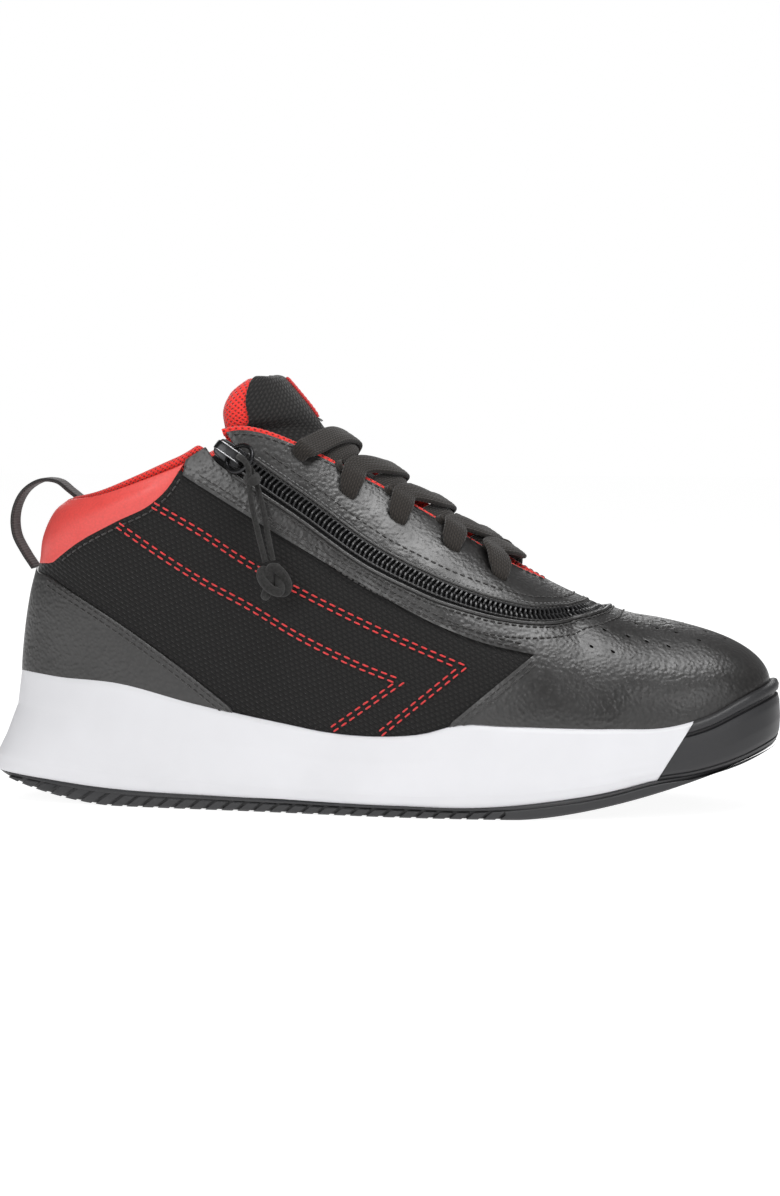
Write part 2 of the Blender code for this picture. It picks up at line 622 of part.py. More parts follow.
def lining():
    front = shift(zip_half(), -LINING_LAP)[-1, 0]
    even = np.linspace(0, 1, 31)
    q = np.sort(np.concatenate([even[np.abs(even - front) > .015], [front]]))
    w = np.concatenate([q, 2 - q[-2:0:-1]])
    rows = np.concatenate([[-1, 0], np.linspace(0, 1, 7)[1:]])
    n = len(w)
    x = skin(w, 0)[:, 0]
    hem = 1 - LINING_HEM / (feather_top(x) - 1.3 - cup_floor(x))
    grid = rows[:, None] * np.where(rows[:, None] > 0, lining_top(w)[None], hem[None])
    outer = layer(w[None].repeat(len(rows), 0), grid, LINING[0])
    inner = layer(w[None].repeat(len(rows), 0), grid, LINING[1])
    verts = np.concatenate([outer.reshape(-1, 3), inner.reshape(-1, 3)])
    size = len(rows) * n
    faces = []
    for c in range(n):
        d = (c + 1) % n
        for r in range(len(rows) - 1):
            faces.append((r * n + c, r * n + d, (r + 1) * n + d, (r + 1) * n + c))
            faces.append((size + r * n + c, size + (r + 1) * n + c, size + (r + 1) * n + d, size + r * n + d))
        faces.append((c, size + c, size + d, d))
        last = (len(rows) - 1) * n
        q_c, q_d = fold(w[c])[0], fold(w[d])[0]
        if min(q_c, q_d) < front - 1e-9:
            faces.append((last + c, last + d, size + last + d, size + last + c))
    return finish("lining", verts, faces, "mesh_red", .004)


def patch(name, w_range, t_range, depths, colour, cols=20, rows=8):
    w, t = np.meshgrid(np.linspace(*w_range, cols), np.linspace(*t_range, rows))
    return slab(name, layer(w, t, depths[0]), layer(w, t, depths[1]), colour)


def collar_padding():
    """Foam rim along the collar: it rolls over the top edge of the collar panel."""
    run = np.linspace(COLLAR_FROM, COLLAR_TO, 37)
    sections = [np.array([layer(w, t, d) for t, d in COLLAR_ROLL]) for w in run]
    n = len(COLLAR_ROLL)
    verts = np.concatenate(sections)
    faces = [tuple(range(n)), tuple(range((len(sections) - 1) * n, len(sections) * n))]
    for k in range(len(sections) - 1):
        for i in range(n):
            j = (i + 1) % n
            faces.append((k * n + i, k * n + j, (k + 1) * n + j, (k + 1) * n + i))
    return finish("collar_padding", verts, faces, "mesh_red")


def edge_run(points, count, first=None):
    """A seam as (q, t), optionally tied to a given first point."""
    path = on_skin(along(points, count))
    return path if first is None else np.concatenate([[first], path])


def seams():
    """Every seam the panels share, as (q, t) from heel to toe."""
    heel = edge_run(HEEL_EDGE, 14, first=(0, .485))
    heel = np.concatenate([heel, [[heel[-1, 0] + .002, PANEL_FOOT]]])
    collar = edge_run(COLLAR_EDGE, 14, first=(0, .497))
    band = edge_run(BAND_EDGE, 22)
    rear = edge_run(VAMP_REAR, 8)
    rear = np.concatenate([rear, [[rear[-1, 0] - .004, PANEL_FOOT]]])
    return heel, collar, band, rear


def heel_side(path):
    """A (q, t) path on the medial side in the heel-centred coordinate."""
    return np.stack([-path[:, 0], path[:, 1]], 1)


def lateral_outlines():
    """Edges of the pieces between the heel, the collar and the vamp, lateral side."""
    heel, collar, band, rear = seams()
    half = KERF / 2
    heel_low, heel_high = shift(heel, -half), shift(heel, half)
    heel_low[0, 0] = heel_high[0, 0] = 0
    heel_low[-1, 1] = heel_high[-1, 1] = PANEL_FOOT
    return {
        "heel_low": heel_low, "heel_high": heel_high,
        "collar_low": shift(collar, -half), "collar_high": shift(collar, half),
        "band_low": shift(band, -half), "band_high": shift(band, half),
        "rear_back": rear - [CORNER_KERF, 0], "rear_front": rear + [CORNER_KERF, 0]}


def loop_of(*runs):
    """Join open runs into one outline, each run resampled evenly."""
    pts = np.concatenate([resample(np.asarray(r, float), RUN_STEP) for r in runs])
    gap = np.linalg.norm(flat(pts) - np.roll(flat(pts), 1, 0), axis=1)
    return pts[gap > .05]


def quarter(name, side):
    edges = lateral_outlines()
    heel_run = edges["heel_high"][2:]
    collar_run = edges["collar_low"][2:]
    band_run = edges["band_low"]
    rear_run = edges["rear_back"][1:]
    corner = band_run[-1:] - [[.003, 0]]
    foot = [rear_run[-1], heel_run[-1]]
    outline = loop_of(collar_run, band_run[1:-1], corner, rear_run, foot, heel_run[::-1])
    if side > 0:
        outline = heel_side(outline)
    return panel(name, [outline], 0, SKIN_T, "mesh_black")


def heel_overlay():
    run = lateral_outlines()["heel_low"]
    whole = np.concatenate([heel_side(run)[::-1], run[1:]])
    bottom = np.stack([np.linspace(run[-1, 0], -run[-1, 0], 30), np.full(30, PANEL_FOOT)], 1)
    return panel("heel_overlay", [loop_of(whole, bottom)], 0, SKIN_T, "leather_black")


def collar_panel():
    run = lateral_outlines()["collar_high"]
    top_q = run[-1, 0] + .008
    low = np.concatenate([heel_side(run)[::-1], run[1:]])
    rim = np.stack([np.linspace(top_q, -top_q, 40), np.full(40, COLLAR_RIM_T)], 1)
    return panel("collar_panel", [loop_of(low, rim)], 0, SKIN_T, "leather_red")


def vamp():
    """Toe box and the bands that run back under the zip, one piece."""
    edges = lateral_outlines()
    lateral_run, medial_run = split_path(shift(zip_whole(), -BAND_LAP))
    lateral_run = start_at(lateral_run, BAND_TOP_T)
    fold_run = medial(start_at(shift(fold_line(), -FOLD_LAP), BAND_TOP_T))[::-1]
    medial_run = medial_run[medial_run[:, 0] < fold_run[0, 0] - .01]
    ridge = np.stack([np.linspace(lateral_run[-1, 0], 2 - lateral_run[-1, 0], 26), np.ones(26)], 1)
    band = edges["band_high"]
    rear = edges["rear_front"]
    end_q = band[0, 0] + .006
    lateral_top = np.array([[end_q, BAND_TOP_T], lateral_run[0]])
    back_end = np.array([band[0] + [.002, .0], [end_q, BAND_TOP_T]])
    medial_top = np.array([fold_run[-1], [2 - end_q, BAND_TOP_T]])
    toe = np.stack([np.linspace(2 - rear[-1, 0], rear[-1, 0], 60), np.full(60, PANEL_FOOT)], 1)
    corner = band[-1:] + [[.003, 0]]
    runs = [lateral_top, lateral_run, ridge[1:-1], medial_run, fold_run, medial_top,
            medial(back_end)[::-1], medial(band[1:-1]), medial(corner), medial(rear[1:]), toe[1:-1],
            rear[1:][::-1], corner, band[1:-1][::-1], back_end]
    parts = [resample(r, RUN_STEP) if len(r) > 1 else r for r in runs]
    parts[2] = ridge[1:-1]
    outline = np.concatenate(parts)
    gap = np.linalg.norm(flat(outline) - np.roll(flat(outline), 1, 0), axis=1)
    return panel("vamp", [outline[gap > .3]], 0, SKIN_T, "leather_black")


def throat_outlines(zip_lap, fold_lap, count=27):
    """Lateral and medial outlines of a flap piece, joined along the ridge."""
    lateral_run, medial_run = split_path(shift(zip_whole(), zip_lap))
    front = lateral_run[-1, 0]
    lateral_run = start_at(lateral_run, 1.0)
    fold_run = medial(start_at(shift(fold_line(), fold_lap), 1.0))[::-1]
    medial_run = medial_run[(medial_run[:, 0] < fold_run[0, 0] - .012)]
    bridge = np.stack([np.linspace(front, RIDGE_Q, 5), np.ones(5)], 1)
    left = np.stack([np.linspace(RIDGE_Q, lateral_run[0, 0], count), np.ones(count)], 1)
    right = np.stack([np.linspace(2 - RIDGE_Q, fold_run[-1, 0], count), np.ones(count)], 1)
    lateral = [resample(lateral_run, RUN_STEP), bridge[1:], left[1:]]
    medial_parts = [right[::-1][:-1], medial(bridge)[::-1], resample(medial_run, RUN_STEP)[1:],
                    resample(fold_run, RUN_STEP)]
    out = []
    for parts in (lateral, medial_parts):
        pts = np.concatenate(parts)
        gap = np.linalg.norm(flat(pts) - np.roll(flat(pts), 1, 0), axis=1)
        out.append(pts[gap > .3])
    return out


def zip_strip(name, near, far, depths, colour):
    """A ribbon beside the zip's middle line, from near to far."""
    path = zip_whole()
    lateral_run, medial_run = split_path(path)
    lateral_run, medial_run = resample(lateral_run, STRIP_STEP), resample(medial_run, STRIP_STEP)
    lateral_run = lateral_run[lateral_run[:, 0] > CHAIN_START_Q]
    medial_run = medial_run[medial_run[:, 0] < path[-1, 0] - CHAIN_END_GAP]
    outer, inner = [], []
    for lap in np.linspace(near, far, 2 if abs(far - near) < 4 else 3):
        a, b = shift(lateral_run, lap), shift(medial_run, lap)
        line = np.concatenate([a, b[1:]])
        outer.append(layer(line[:, 0], line[:, 1], depths[0]))
        inner.append(layer(line[:, 0], line[:, 1], depths[1]))
    return slab(name, np.array(outer), np.array(inner), colour)


def tongue_grid():
    """Rows from the front of the throat to the tongue's top, columns from edge to edge."""
    zip_run = zip_half()
    fold_run = fold_line()
    rows = []
    for q in (.735, .70, .66, .60, .55, .50, .46, .42, .385):
        ridge = smooth([k[0] for k in TONGUE_RIDGE], [k[1:] for k in TONGUE_RIDGE], q)
        top = np.array([ridge[0], 0, ridge[1]])
        halves = []
        for run, w in ((zip_run, q), (fold_run, 2 - q)):
            t = float(np.interp(q, run[:, 0], run[:, 1])) + .06
            t = min(t, .93)
            if q > fold_run[-1, 0]:
                t = float(np.interp(q, zip_run[:, 0], zip_run[:, 1])) + .10
            edge = layer(w, t, 5.2)
            up = unit(skin(w, t + .01) - skin(w, t))
            reach = abs(edge[1])
            handle = np.array([top[0], edge[1] * .5, top[2]])
            halves.append(bezier(edge, edge + up * reach * .35, handle, top, 7))
        rows.append(np.concatenate([halves[0], halves[1][::-1][1:]]))
    for rx, rz, ex, ey, ez in TONGUE_TOP:
        top = np.array([rx, 0, rz])
        left = bezier(np.array([ex, -ey, ez]), np.array([ex + 9, -ey, ez + 1]),
                      np.array([rx, -ey * .6, rz]), top, 7)
        right = left * [1, -1, 1]
        rows.append(np.concatenate([left, right[::-1][1:]]))
    return np.array(rows)


def grid_normals(grid):
    n = unit(np.cross(np.gradient(grid, axis=0), np.gradient(grid, axis=1)))
    return n * np.sign(n[..., 0:1] + n[..., 2:3] * .5)[len(grid) // 2, grid.shape[1] // 2]


def tongue():
    grid = tongue_grid()
    n = grid_normals(grid)
    rows = len(grid)
    pad = smooth([0, rows * .5, rows - 1], PAD_DEPTHS, np.arange(rows))[:, None, None]
    slab("tongue", grid, grid - n * pad, "mesh_black")
    start = pad + TONGUE_GAP
    slab("tongue_lining", grid - n * start, grid - n * (start + pad * .75), "mesh_red")
    label = grid[-4:, 4:9] + n[-4:, 4:9] * LABEL_GAP
    slab("tongue_label", label + n[-4:, 4:9] * LABEL_T, label, "label_red")


def throat_ridge(x):
    """Height of the throat's middle line above the tongue."""
    return 115 - .67 * (x + 20)


def strap(name, a, b, lift, order):
    """One pass of the lace between two eyelets, over the ridge; order keeps the faces apart."""
    half_w, half_t = LACE_HALF_W + WIDTH_STEP * order, LACE_HALF_T + THICK_STEP * order
    (qa, ta), (qb, tb) = on_skin([a, b])
    lift_off = LACE_LIFT + LIFT_STEP * order
    mid_x = (a[0] + b[0]) / 2 + 8
    points = [layer(qa + Q_NEAR_STEP * order, ta, -lift_off),
              layer(.7 * qa + .3 * qb, .965, -lift_off - .5),
              np.array([mid_x, 0, throat_ridge(mid_x) + LACE_CREST + lift]),
              layer(2 - .7 * qb - .3 * qa, .965, -lift_off - .5),
              layer(2 - qb - Q_FAR_STEP * order, tb + .035, -lift_off)]
    line = along(points, 9)
    tangent = unit(np.gradient(line, axis=0))
    spine = np.array([.83, 0, -.56])
    wide = unit(spine - tangent * (tangent @ spine)[:, None])
    thick = np.cross(tangent, wide)
    thick *= np.sign(thick[len(line) // 2, 2])
    sections = []
    for p, u, v in zip(line, wide, thick):
        wide_by, thick_by = u * half_w, v * half_t
        sections.append([p - wide_by - thick_by, p + wide_by - thick_by, p + wide_by + thick_by,
                         p - wide_by + thick_by])
    return tube(name, sections, "lace_black")


def lace():
    body = strap("lace", EYELETS[0], EYELETS[0], 0, 0)
    extra = [strap("lace_last", EYELETS[-1], EYELETS[-1], BAR_LIFT, 9)]
    for i in range(len(EYELETS) - 1):
        extra.append(strap(f"lace_under_{i}", EYELETS[i], EYELETS[i + 1], 0, 2 * i + 1))
        extra.append(strap(f"lace_over_{i}", EYELETS[i + 1], EYELETS[i], OVER_LIFT, 2 * i + 2))
    for other in extra:
        combine(body, other, "UNION")
        hide_as_cutter(other)


def frame_at(x, z, lift):
    """Origin and axes (down the zip, across it, out of the skin) on the lateral side."""
    q, t = on_skin([(x, z)])[0]
    out = normal(q, t)
    down = np.array([25.0, 0, -17.15])
    down = unit(down - out * (down @ out))
    return skin(q, t) + out * lift, down, np.cross(out, down), out


def place(obj, origin, axes, colour, name):
    """Stand a primitive made at the world's origin on its own axes."""
    turn = Matrix([tuple(axis) for axis in axes]).transposed().to_4x4()
    turn.translation = Vector([float(c) * MM for c in origin])
    obj.data.transform(turn)
    obj.name = obj.data.name = name
    obj.data.materials.clear()
    obj.data.materials.append(material(colour))
    move_to(obj, OBJECT)
    return obj


def box(name, origin, axes, lows, highs, colour):
    bpy.ops.mesh.primitive_cube_add(size=1)
    obj = bpy.context.object
    low, high = Vector(lows) * MM, Vector(highs) * MM
    obj.data.transform(Matrix.LocRotScale((low + high) / 2, None, high - low))
    return place(obj, origin, axes, colour, name)


def slider():
    """Zip slider at the top of the zip: plate, and a bridge that the ring goes under."""
    origin, down, across, out = frame_at(*SLIDER_AT)
    axes = (down, across, out)
    length, width = SLIDER_L / 2, SLIDER_W / 2
    body = box("zip_slider", origin, axes, (-length, -width, 0), (length, width, SLIDER_T), "metal_grey")
    for name, (lows, highs) in SLIDER_BLOCKS.items():
        extra = box(name, origin, axes, lows, highs, "metal_grey")
        combine(body, extra, "UNION")
        hide_as_cutter(extra)
    return origin, down, across, out


def ring_and_cord(origin, down, across, out):
    """The ring under the slider's bridge and the knotted cord that hangs from it."""
    eye = origin + out * EYE_OUT + down * EYE_DOWN
    tilt = down * cos(radians(RING_TILT)) + out * sin(radians(RING_TILT))
    centre = eye + tilt * RING_R
    bpy.ops.mesh.primitive_torus_add(major_radius=RING_R * MM, minor_radius=RING_WIRE * MM,
                                     major_segments=20, minor_segments=6)
    place(bpy.context.object, centre, (tilt, across, np.cross(tilt, across)), "metal_grey", "zip_ring")
    hang = eye + tilt * 2 * RING_R
    knot = np.array(KNOT)
    cord()
    bpy.ops.mesh.primitive_uv_sphere_add(segments=12, ring_count=8, radius=MM)
    ball = bpy.context.object
    ball.data.transform(Matrix.Diagonal((*KNOT_HALF, 1)))
    lean = unit(knot - hang)
    side = unit(np.cross(lean, [0, 1, 0]))
    place(ball, knot, (side, np.cross(lean, side), lean), "lace_black", "zip_knot")
    for name in ("zip_ring", "zip_knot"):
        bpy.data.objects[name].data.shade_smooth()
    return eye, hang


def cord():
    """One cord: up from the knot, through the ring and back down to the knot."""
    points = along(CORD_ROUTE, 36)
    curve = bpy.data.curves.new("zip_cord", "CURVE")
    curve.dimensions = "3D"
    curve.bevel_depth = CORD_R * MM
    curve.bevel_resolution = 2
    curve.use_fill_caps = True
    spline = curve.splines.new("POLY")
    spline.points.add(len(points) - 1)
    for point, p in zip(spline.points, points):
        point.co = (*(float(c) * MM for c in p), 1)
    curve.materials.append(material("lace_black"))
    collection(OBJECT).objects.link(bpy.data.objects.new("zip_cord", curve))


def pull_loop():
    """Webbing loop sewn to the back of the collar."""
    line = along(LOOP_PATH, 19)
    tangent = unit(np.gradient(line, axis=0))
    sections = []
    for (x, z), (tx, tz) in zip(line, tangent):
        nx, nz = -tz * LOOP_T / 2, tx * LOOP_T / 2
        sections.append([(x + nx, -LOOP_W / 2, z + nz), (x + nx, LOOP_W / 2, z + nz),
                         (x - nx, LOOP_W / 2, z - nz), (x - nx, -LOOP_W / 2, z - nz)])
    tube("pull_loop", sections, "webbing_black")


def zip_stop():
    """Metal stop that ends the chain on the medial side."""
    path = zip_whole()
    w, t = path[np.argmin(np.abs(path[:, 0] - (path[-1, 0] - STOP_GAP)))]
    out = normal(w, t)
    ahead = unit(skin(w + .01, t) - skin(w - .01, t))
    ahead = unit(ahead - out * (ahead @ out))
    length, width = STOP_HALF
    axes = (ahead, np.cross(out, ahead), out)
    box("zip_stop", skin(w, t), axes, (-length, -width, -1.5), (length, width, .9), "metal_grey")


def hang_on(name, point, pieces):
    """Parent the pieces that move together to an empty on their joint's axis."""
    pivot = bpy.data.objects.new(name, None)
    pivot.empty_display_size = 5 * MM
    pivot.location = [float(c) * MM for c in point]
    collection(OBJECT).objects.link(pivot)
    bpy.context.view_layer.update()
    for piece in pieces:
        child = bpy.data.objects[piece]
        child.parent = pivot
        child.matrix_parent_inverse = pivot.matrix_world.inverted()


def all_parts():
    sole()
    lining()
    patch("heel_stiffener", (-.27, .27), (-.8, .60), STIFFENER, "board", 21, 6)
    patch("toe_puff", (.87, 1.13), (-.8, .72), STIFFENER, "board", 13, 7)
    collar_padding()
    heel_overlay()
    collar_panel()
    quarter("quarter_lateral", -1)
    quarter("quarter_medial", 1)
    vamp()
    panel("eyestay", throat_outlines(EYESTAY_LAP, FOLD_LAP), 0, SKIN_T, "leather_black", 7)
    panel("eyestay_lining", throat_outlines(2.4, 2.0), *EYESTAY_LINING, "mesh_red", 8)
    zip_strip("zip_tape_outer", -.25, -TAPE_W, TAPE, "tape_black")
    zip_strip("zip_tape_inner", .25, TAPE_W, TAPE, "tape_black")
    zip_strip("zip_chain_outer", -KERF / 2, -ZIP_HALF, CHAIN, "chain_black")
    zip_strip("zip_chain_inner", KERF / 2, ZIP_HALF, CHAIN, "chain_black")
    tongue()
    lace()
    zip_stop()
    pull_loop()
    slider_frame = slider()
    eye, hang = ring_and_cord(*slider_frame)
    hang_on("throat_fold_axis", FOLD_PIVOT, ["eyestay", "eyestay_lining", "zip_tape_inner", "zip_chain_inner",
                                             "tongue", "tongue_lining", "tongue_label", "lace"])
    hang_on("zip_slide_axis", slider_frame[0], ["zip_slider"])
    hang_on("ring_swing_axis", eye, ["zip_ring"])
    hang_on("cord_swing_axis", hang, ["zip_cord", "zip_knot"])


for old in list(bpy.data.objects):
    bpy.data.objects.remove(old, do_unlink=True)
all_parts()
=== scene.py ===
"""Looks of the basketball high top: every visible piece, its material, the floor, light and camera.

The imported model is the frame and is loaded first. Lengths are in millimetres and points in the frame's
own axes: +X to the toe, -Y to the outer side, +Z up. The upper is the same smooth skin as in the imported
model, so each piece is cut out of it at its own depth.

A place on the skin is (w, t) or (q, t). q runs from 0 at the heel to 1 at the toe; w is the same on the
outer side, and is -q or 2 - q on the inner side. t is 0 at the feather line and 1 at the top edge.
"""
from math import cos, pi, radians, sin

import bmesh
import bpy
import numpy as np
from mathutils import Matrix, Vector
from mathutils.geometry import delaunay_2d_cdt


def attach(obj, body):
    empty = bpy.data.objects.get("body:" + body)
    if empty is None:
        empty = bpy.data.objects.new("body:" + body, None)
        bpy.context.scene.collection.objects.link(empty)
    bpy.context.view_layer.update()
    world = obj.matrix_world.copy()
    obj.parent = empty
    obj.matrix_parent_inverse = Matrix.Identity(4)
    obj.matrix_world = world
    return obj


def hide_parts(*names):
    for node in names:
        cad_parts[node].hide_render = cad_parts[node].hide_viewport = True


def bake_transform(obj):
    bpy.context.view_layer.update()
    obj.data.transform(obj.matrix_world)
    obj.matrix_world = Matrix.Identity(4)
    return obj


MM = 0.001
NUDGE = 1e-3                         # step in w and t for slopes of the skin

# ---- sole ----------------------------------------------------------------
HEEL_X, TOE_X = -118.0, 119.5        # ends of the feather line
FEATHER_INSET = 5.0                  # feather line inside the sole's widest line
PLAN_U = [0, .18, .36, .55, .70, .86, 1]
LATERAL_HALF = [33, 35.5, 38, 45.5, 49, 47, 44]
MEDIAL_HALF = [32, 34, 33.5, 39, 45, 46, 43]
TOE_SWING = 3.0                      # toe tip's shift towards the big toe
FEATHER_Z = [(-120, 43), (-103, 40.3), (-83, 38.8), (-58, 33), (-42, 29.6), (-29, 27.3), (-14, 24.9),
             (4, 24.3), (16, 25.4), (27, 28.4), (41, 28.2), (74, 27.2), (91, 27.5), (103, 30.8),
             (113, 36), (122, 40)]
FLOOR_Z = [(-120, 25), (-80, 23.5), (-30, 17.5), (30, 13.5), (70, 15), (95, 18.5), (121, 25)]
RUBBER_Z = [(-128, 9.2), (-108, 7.5), (-86, 5.5), (-53, 4.5), (9, 3.6), (35, 3.6), (54, 5.4),
            (73, 8.2), (87, 11.6), (99, 13.2), (112, 16.6), (124, 22)]
HEEL_ROLL_X, TOE_ROLL_X = -84.0, 45.0    # flat ground contact lies between them
BUMPER_CUT = [(104.5, 60), (97.8, 28.6), (86, 9.5), (86, -10), (140, -10), (140, 60)]
INSOLE_T, STROBEL_T = 4.5, 1.5

# ---- upper ---------------------------------------------------------------
# q, then top x y z, its handle x y z, then the feather's handle z x y
STATIONS = [
    (0.00, -102.0, 0.0, 96.5, -10.5, 0.0, -6.5, 21, 1.5, 0.0),
    (0.10, -98.5, 16.0, 97.2, -8.0, 4.0, -9.0, 22, 1.0, 0.5),
    (0.20, -86.0, 25.5, 100.2, -2.0, 5.0, -14.0, 24, 0.5, 1.0),
    (0.30, -64.0, 28.0, 109.0, 0.0, 4.0, -20.0, 26, 0.0, 1.5),
    (0.40, -42.0, 25.0, 118.5, 2.0, 6.0, -20.0, 30, 0.0, 2.0),
    (0.50, -9.0, 14.5, 104.5, 4.0, 11.0, -14.0, 30, 0.0, 2.0),
    (0.60, 24.0, 10.0, 85.5, 6.0, 14.0, -9.0, 26, 0.0, 2.0),
    (0.66, 40.0, 6.0, 75.5, 6.0, 18.0, -6.0, 22, 0.0, 1.5),
    (0.70, 50.0, 0.0, 70.4, 7.0, 20.0, -4.5, 20, 0.0, 1.5),
    (0.80, 71.0, 0.0, 61.3, 9.0, 17.0, -3.2, 17, 1.0, 1.0),
    (0.90, 85.0, 0.8, 58.4, 13.0, 10.0, -3.0, 11, 1.0, 0.5),
    (1.00, 92.0, 1.5, 56.7, 18.0, 0.0, -3.6, 8, 0.0, 0.0)]
RIDGE_Q = 0.70                       # from here to the toe both sides meet on the ridge
LINING = (3.1, 4.3)                  # depths of its outer and inner face under the skin
COLLAR_RIM_T, BAND_TOP_T = .955, .965    # t of the collar leather's and the side bands' upper edge
PANEL_FOOT_T = -.6                   # t of the panels' lower edge, inside the sole's cup
UNDERLAP, COLLAR_UNDERLAP = 1.5, 1.2    # how far the mesh side runs on under the leather
COLLAR_FROM, COLLAR_TO = -.352, .347    # run of the padding from the fold round the heel to the zip
LINING_LAP = 1.6                     # lining's edge under the zip's lower tape
LINING_HEM = 2.2                     # lining's lower edge above the cup's floor
INSOLE_INSET = 4.9                   # insole's edge inside the upper's skin

# seams as seen from the side (x, z); both sides of the shoe share them
ZIP_SEAM = [(-50, 113.1), (-25, 95.9), (0, 78.8), (10, 73.9), (23, 68.5), (38, 63.8), (53, 61.5),
            (61.5, 62.3)]
ZIP_RIDGE_X = 66.0                   # the zip crosses the ridge here
FOLD_SEAM = [(-46, 112.3), (6, 87.3), (58, 62.1)]
BAND_EDGE = [(-61, 104), (-40, 91.3), (-9, 73.2), (20, 58.3), (34, 53.2), (49.5, 49.6)]
VAMP_REAR = [(49.5, 49.6), (36.5, 38.9), (23.7, 28.2)]
HEEL_EDGE = [(-106.5, 71.5), (-88, 61), (-66, 46.7), (-44.5, 30.8)]
COLLAR_EDGE = [(-105.5, 75.5), (-96, 82.2), (-83, 89), (-70.5, 95.3), (-65.5, 100.2), (-62.3, 105.2)]
EYELETS = [(-25.8, 110.4), (-10.4, 98.6), (5.2, 90.4), (22, 81.8), (37, 72.9)]

TAPE_W = 8.0
EYESTAY_LAP, BAND_LAP = 3.3, 4.6     # distance of the leather edges from the zip's middle
FOLD_LAP = 0.5
ZIP_TOP_Q = 0.362                    # where the zip meets the collar
CHAIN_END_GAP = .035                 # the chain's end before the zip's end, in w
SLIDER_AT = (-46.2, 110.5, 1.4)      # side view x, z and height above the skin
SLIDER_DOWN = (25.0, 0, -17.15)      # direction of the zip there

RING_R, RING_WIRE, RING_TILT = 4.6, 0.7, 35
EYE_DOWN, EYE_OUT = 0.2, 2.15        # ring's hinge under the bridge, from the slider's origin
CORD_R = 0.9
KNOT = (-30.2, -42.6, 72.2)
CORD_ROUTE = [                       # knot, up behind the ring, over its wire, down in front to the knot
    (-30.5, -41.4, 78.5), (-32, -40.1, 84.5), (-33.3, -38.4, 90.5), (-35, -36.5, 96.5), (-36.9, -34.6, 102),
    (-39, -33, 106.6), (-40.4, -33.2, 108.3), (-41.6, -34.6, 109.4), (-42, -36.5, 110), (-41.4, -38.3, 110),
    (-40, -39.6, 109.5), (-38.6, -40.3, 107.8), (-38, -40.5, 102), (-37.3, -40.5, 96), (-36, -40.5, 90),
    (-34.5, -40.8, 84), (-32.8, -41.7, 78)]
LOOP_PATH = [(-103.6, 98.2), (-107, 100.8), (-112, 101.4), (-118, 98.2), (-121.6, 91), (-121.4, 84),
             (-118.4, 78), (-115.2, 73.2)]
LOOP_W, LOOP_T = 10.0, 1.3

# ---- tongue --------------------------------------------------------------
TONGUE_RIDGE = [(.385, -21.5, 117.6), (.42, -15.8, 112.0), (.5, -3.6, 101.0), (.6, 25.0, 80.6),
                (.66, 40.2, 69.6), (.70, 50.2, 64.6), (.735, 57.2, 61.2)]
TONGUE_TOP = [                       # ridge x z, edge x y z
    (-25.6, 123.6, -49.5, 21.5, 120.0), (-30.2, 129.2, -50.0, 20.5, 126.0),
    (-34.0, 133.4, -48.4, 17.0, 131.5), (-38.0, 136.1, -45.0, 9.5, 135.2)]

# ---- sizes that only the looks need --------------------------------------
CAMERA = dict(azimuth=8.0, elevation=4.0, distance=1100.0, target=(0, 0, 64.3), lens=104.13)
LIGHTS = [                           # name, place and target in metres, size, watts
    ("over", (.22, -.22, .85), (.07, 0, .03), (.6, .4), 5.0),
    ("front", (-.35, -1.1, .5), (0, 0, .05), (.7, .5), 4.2),
    ("toe", (.8, -.7, .45), (.05, 0, .05), (.3, .5), 1.2),
    ("rim", (-.3, 1.0, .55), (0, 0, .06), (.9, .5), 4.0)]
FLAT_W, FLAT_T, FLAT_FOOT = 300, 75, 16    # pattern millimetres per unit of w, of t, and of t below 0
SHEET_STEP = 2.2                     # mesh spacing on leather and fabric panels
OVERLAY = -0.75                      # how far overlays stand above the quarter (depth is inwards)
SEAMS = {                            # thread, body, slot and depth, then pitch, length and width of a stitch
    "overlay_stitches": ("black_thread", "shoe", "leather_black", OVERLAY - .25, 2.5, 1.9, .5),
    "red_stitches": ("red_thread", "shoe", "mesh_black", -.72, 3.2, 2.1, .55),
    "collar_stitches": ("black_thread", "shoe", "mesh_black", -.45, 2.5, 1.8, .5),
    "band_stitches": ("black_thread", "shoe", "leather_black", OVERLAY - .25, 2.2, 1.6, .5),
    # eyestay edge row: its light grey is painted highlight of the coil's top row
    "eyestay_edge_stitches": ("grey_thread", "throat_panel", "leather_black", -.45, 1.6, 1.05, .38),
    "eyestay_stitches": ("black_thread", "throat_panel", "leather_black", -.5, 2.5, 1.8, .48),
    "fold_stitches": ("black_thread", "shoe", "leather_black", OVERLAY - .25, 2.5, 1.8, .48)}
PERFORATION_R, EYELET_R = 0.62, 1.9

SOLE_POINTS = 220                    # points round the sole's outline
WALL = [                             # height fraction, heel x, toe x, inset: the midsole's side wall
    (0.00, -127.2, 122.2, 1.0), (0.03, -127.4, 122.5, .5), (0.15, -126.9, 123.1, 0),
    (0.34, -123.8, 123.3, .6), (0.62, -120.2, 123.2, 1.8), (0.84, -119.3, 122.7, 2.6),
    (0.94, -118.9, 122.2, 3.0), (0.985, -118.5, 121.3, 3.6), (1.00, -118.0, 120.6, 4.3)]
BUMPER_WALL = [                      # the same for the toe bumper, with its grooves
    (0.00, -127, 122.4, .6), (0.05, -127, 122.9, .1), (0.07, -127, 122.6, .5), (0.10, -127, 123.1, 0),
    (0.15, -126.9, 123.3, -.1), (0.34, -123.8, 123.5, .4), (0.62, -120.2, 123.2, 1.7),
    (0.735, -119.6, 122.7, 2.4), (0.765, -119.5, 121.7, 3.3), (0.80, -119.4, 121.7, 3.2),
    (0.835, -119.3, 122.9, 2.0), (0.90, -119.2, 123.0, 2.1), (0.96, -119.0, 122.5, 2.6),
    (0.99, -118.8, 121.7, 3.3), (1.00, -118.4, 121.0, 4.1)]
PLATE = (-127.0, 122.4)              # heel and toe end of the outsole's upper edge
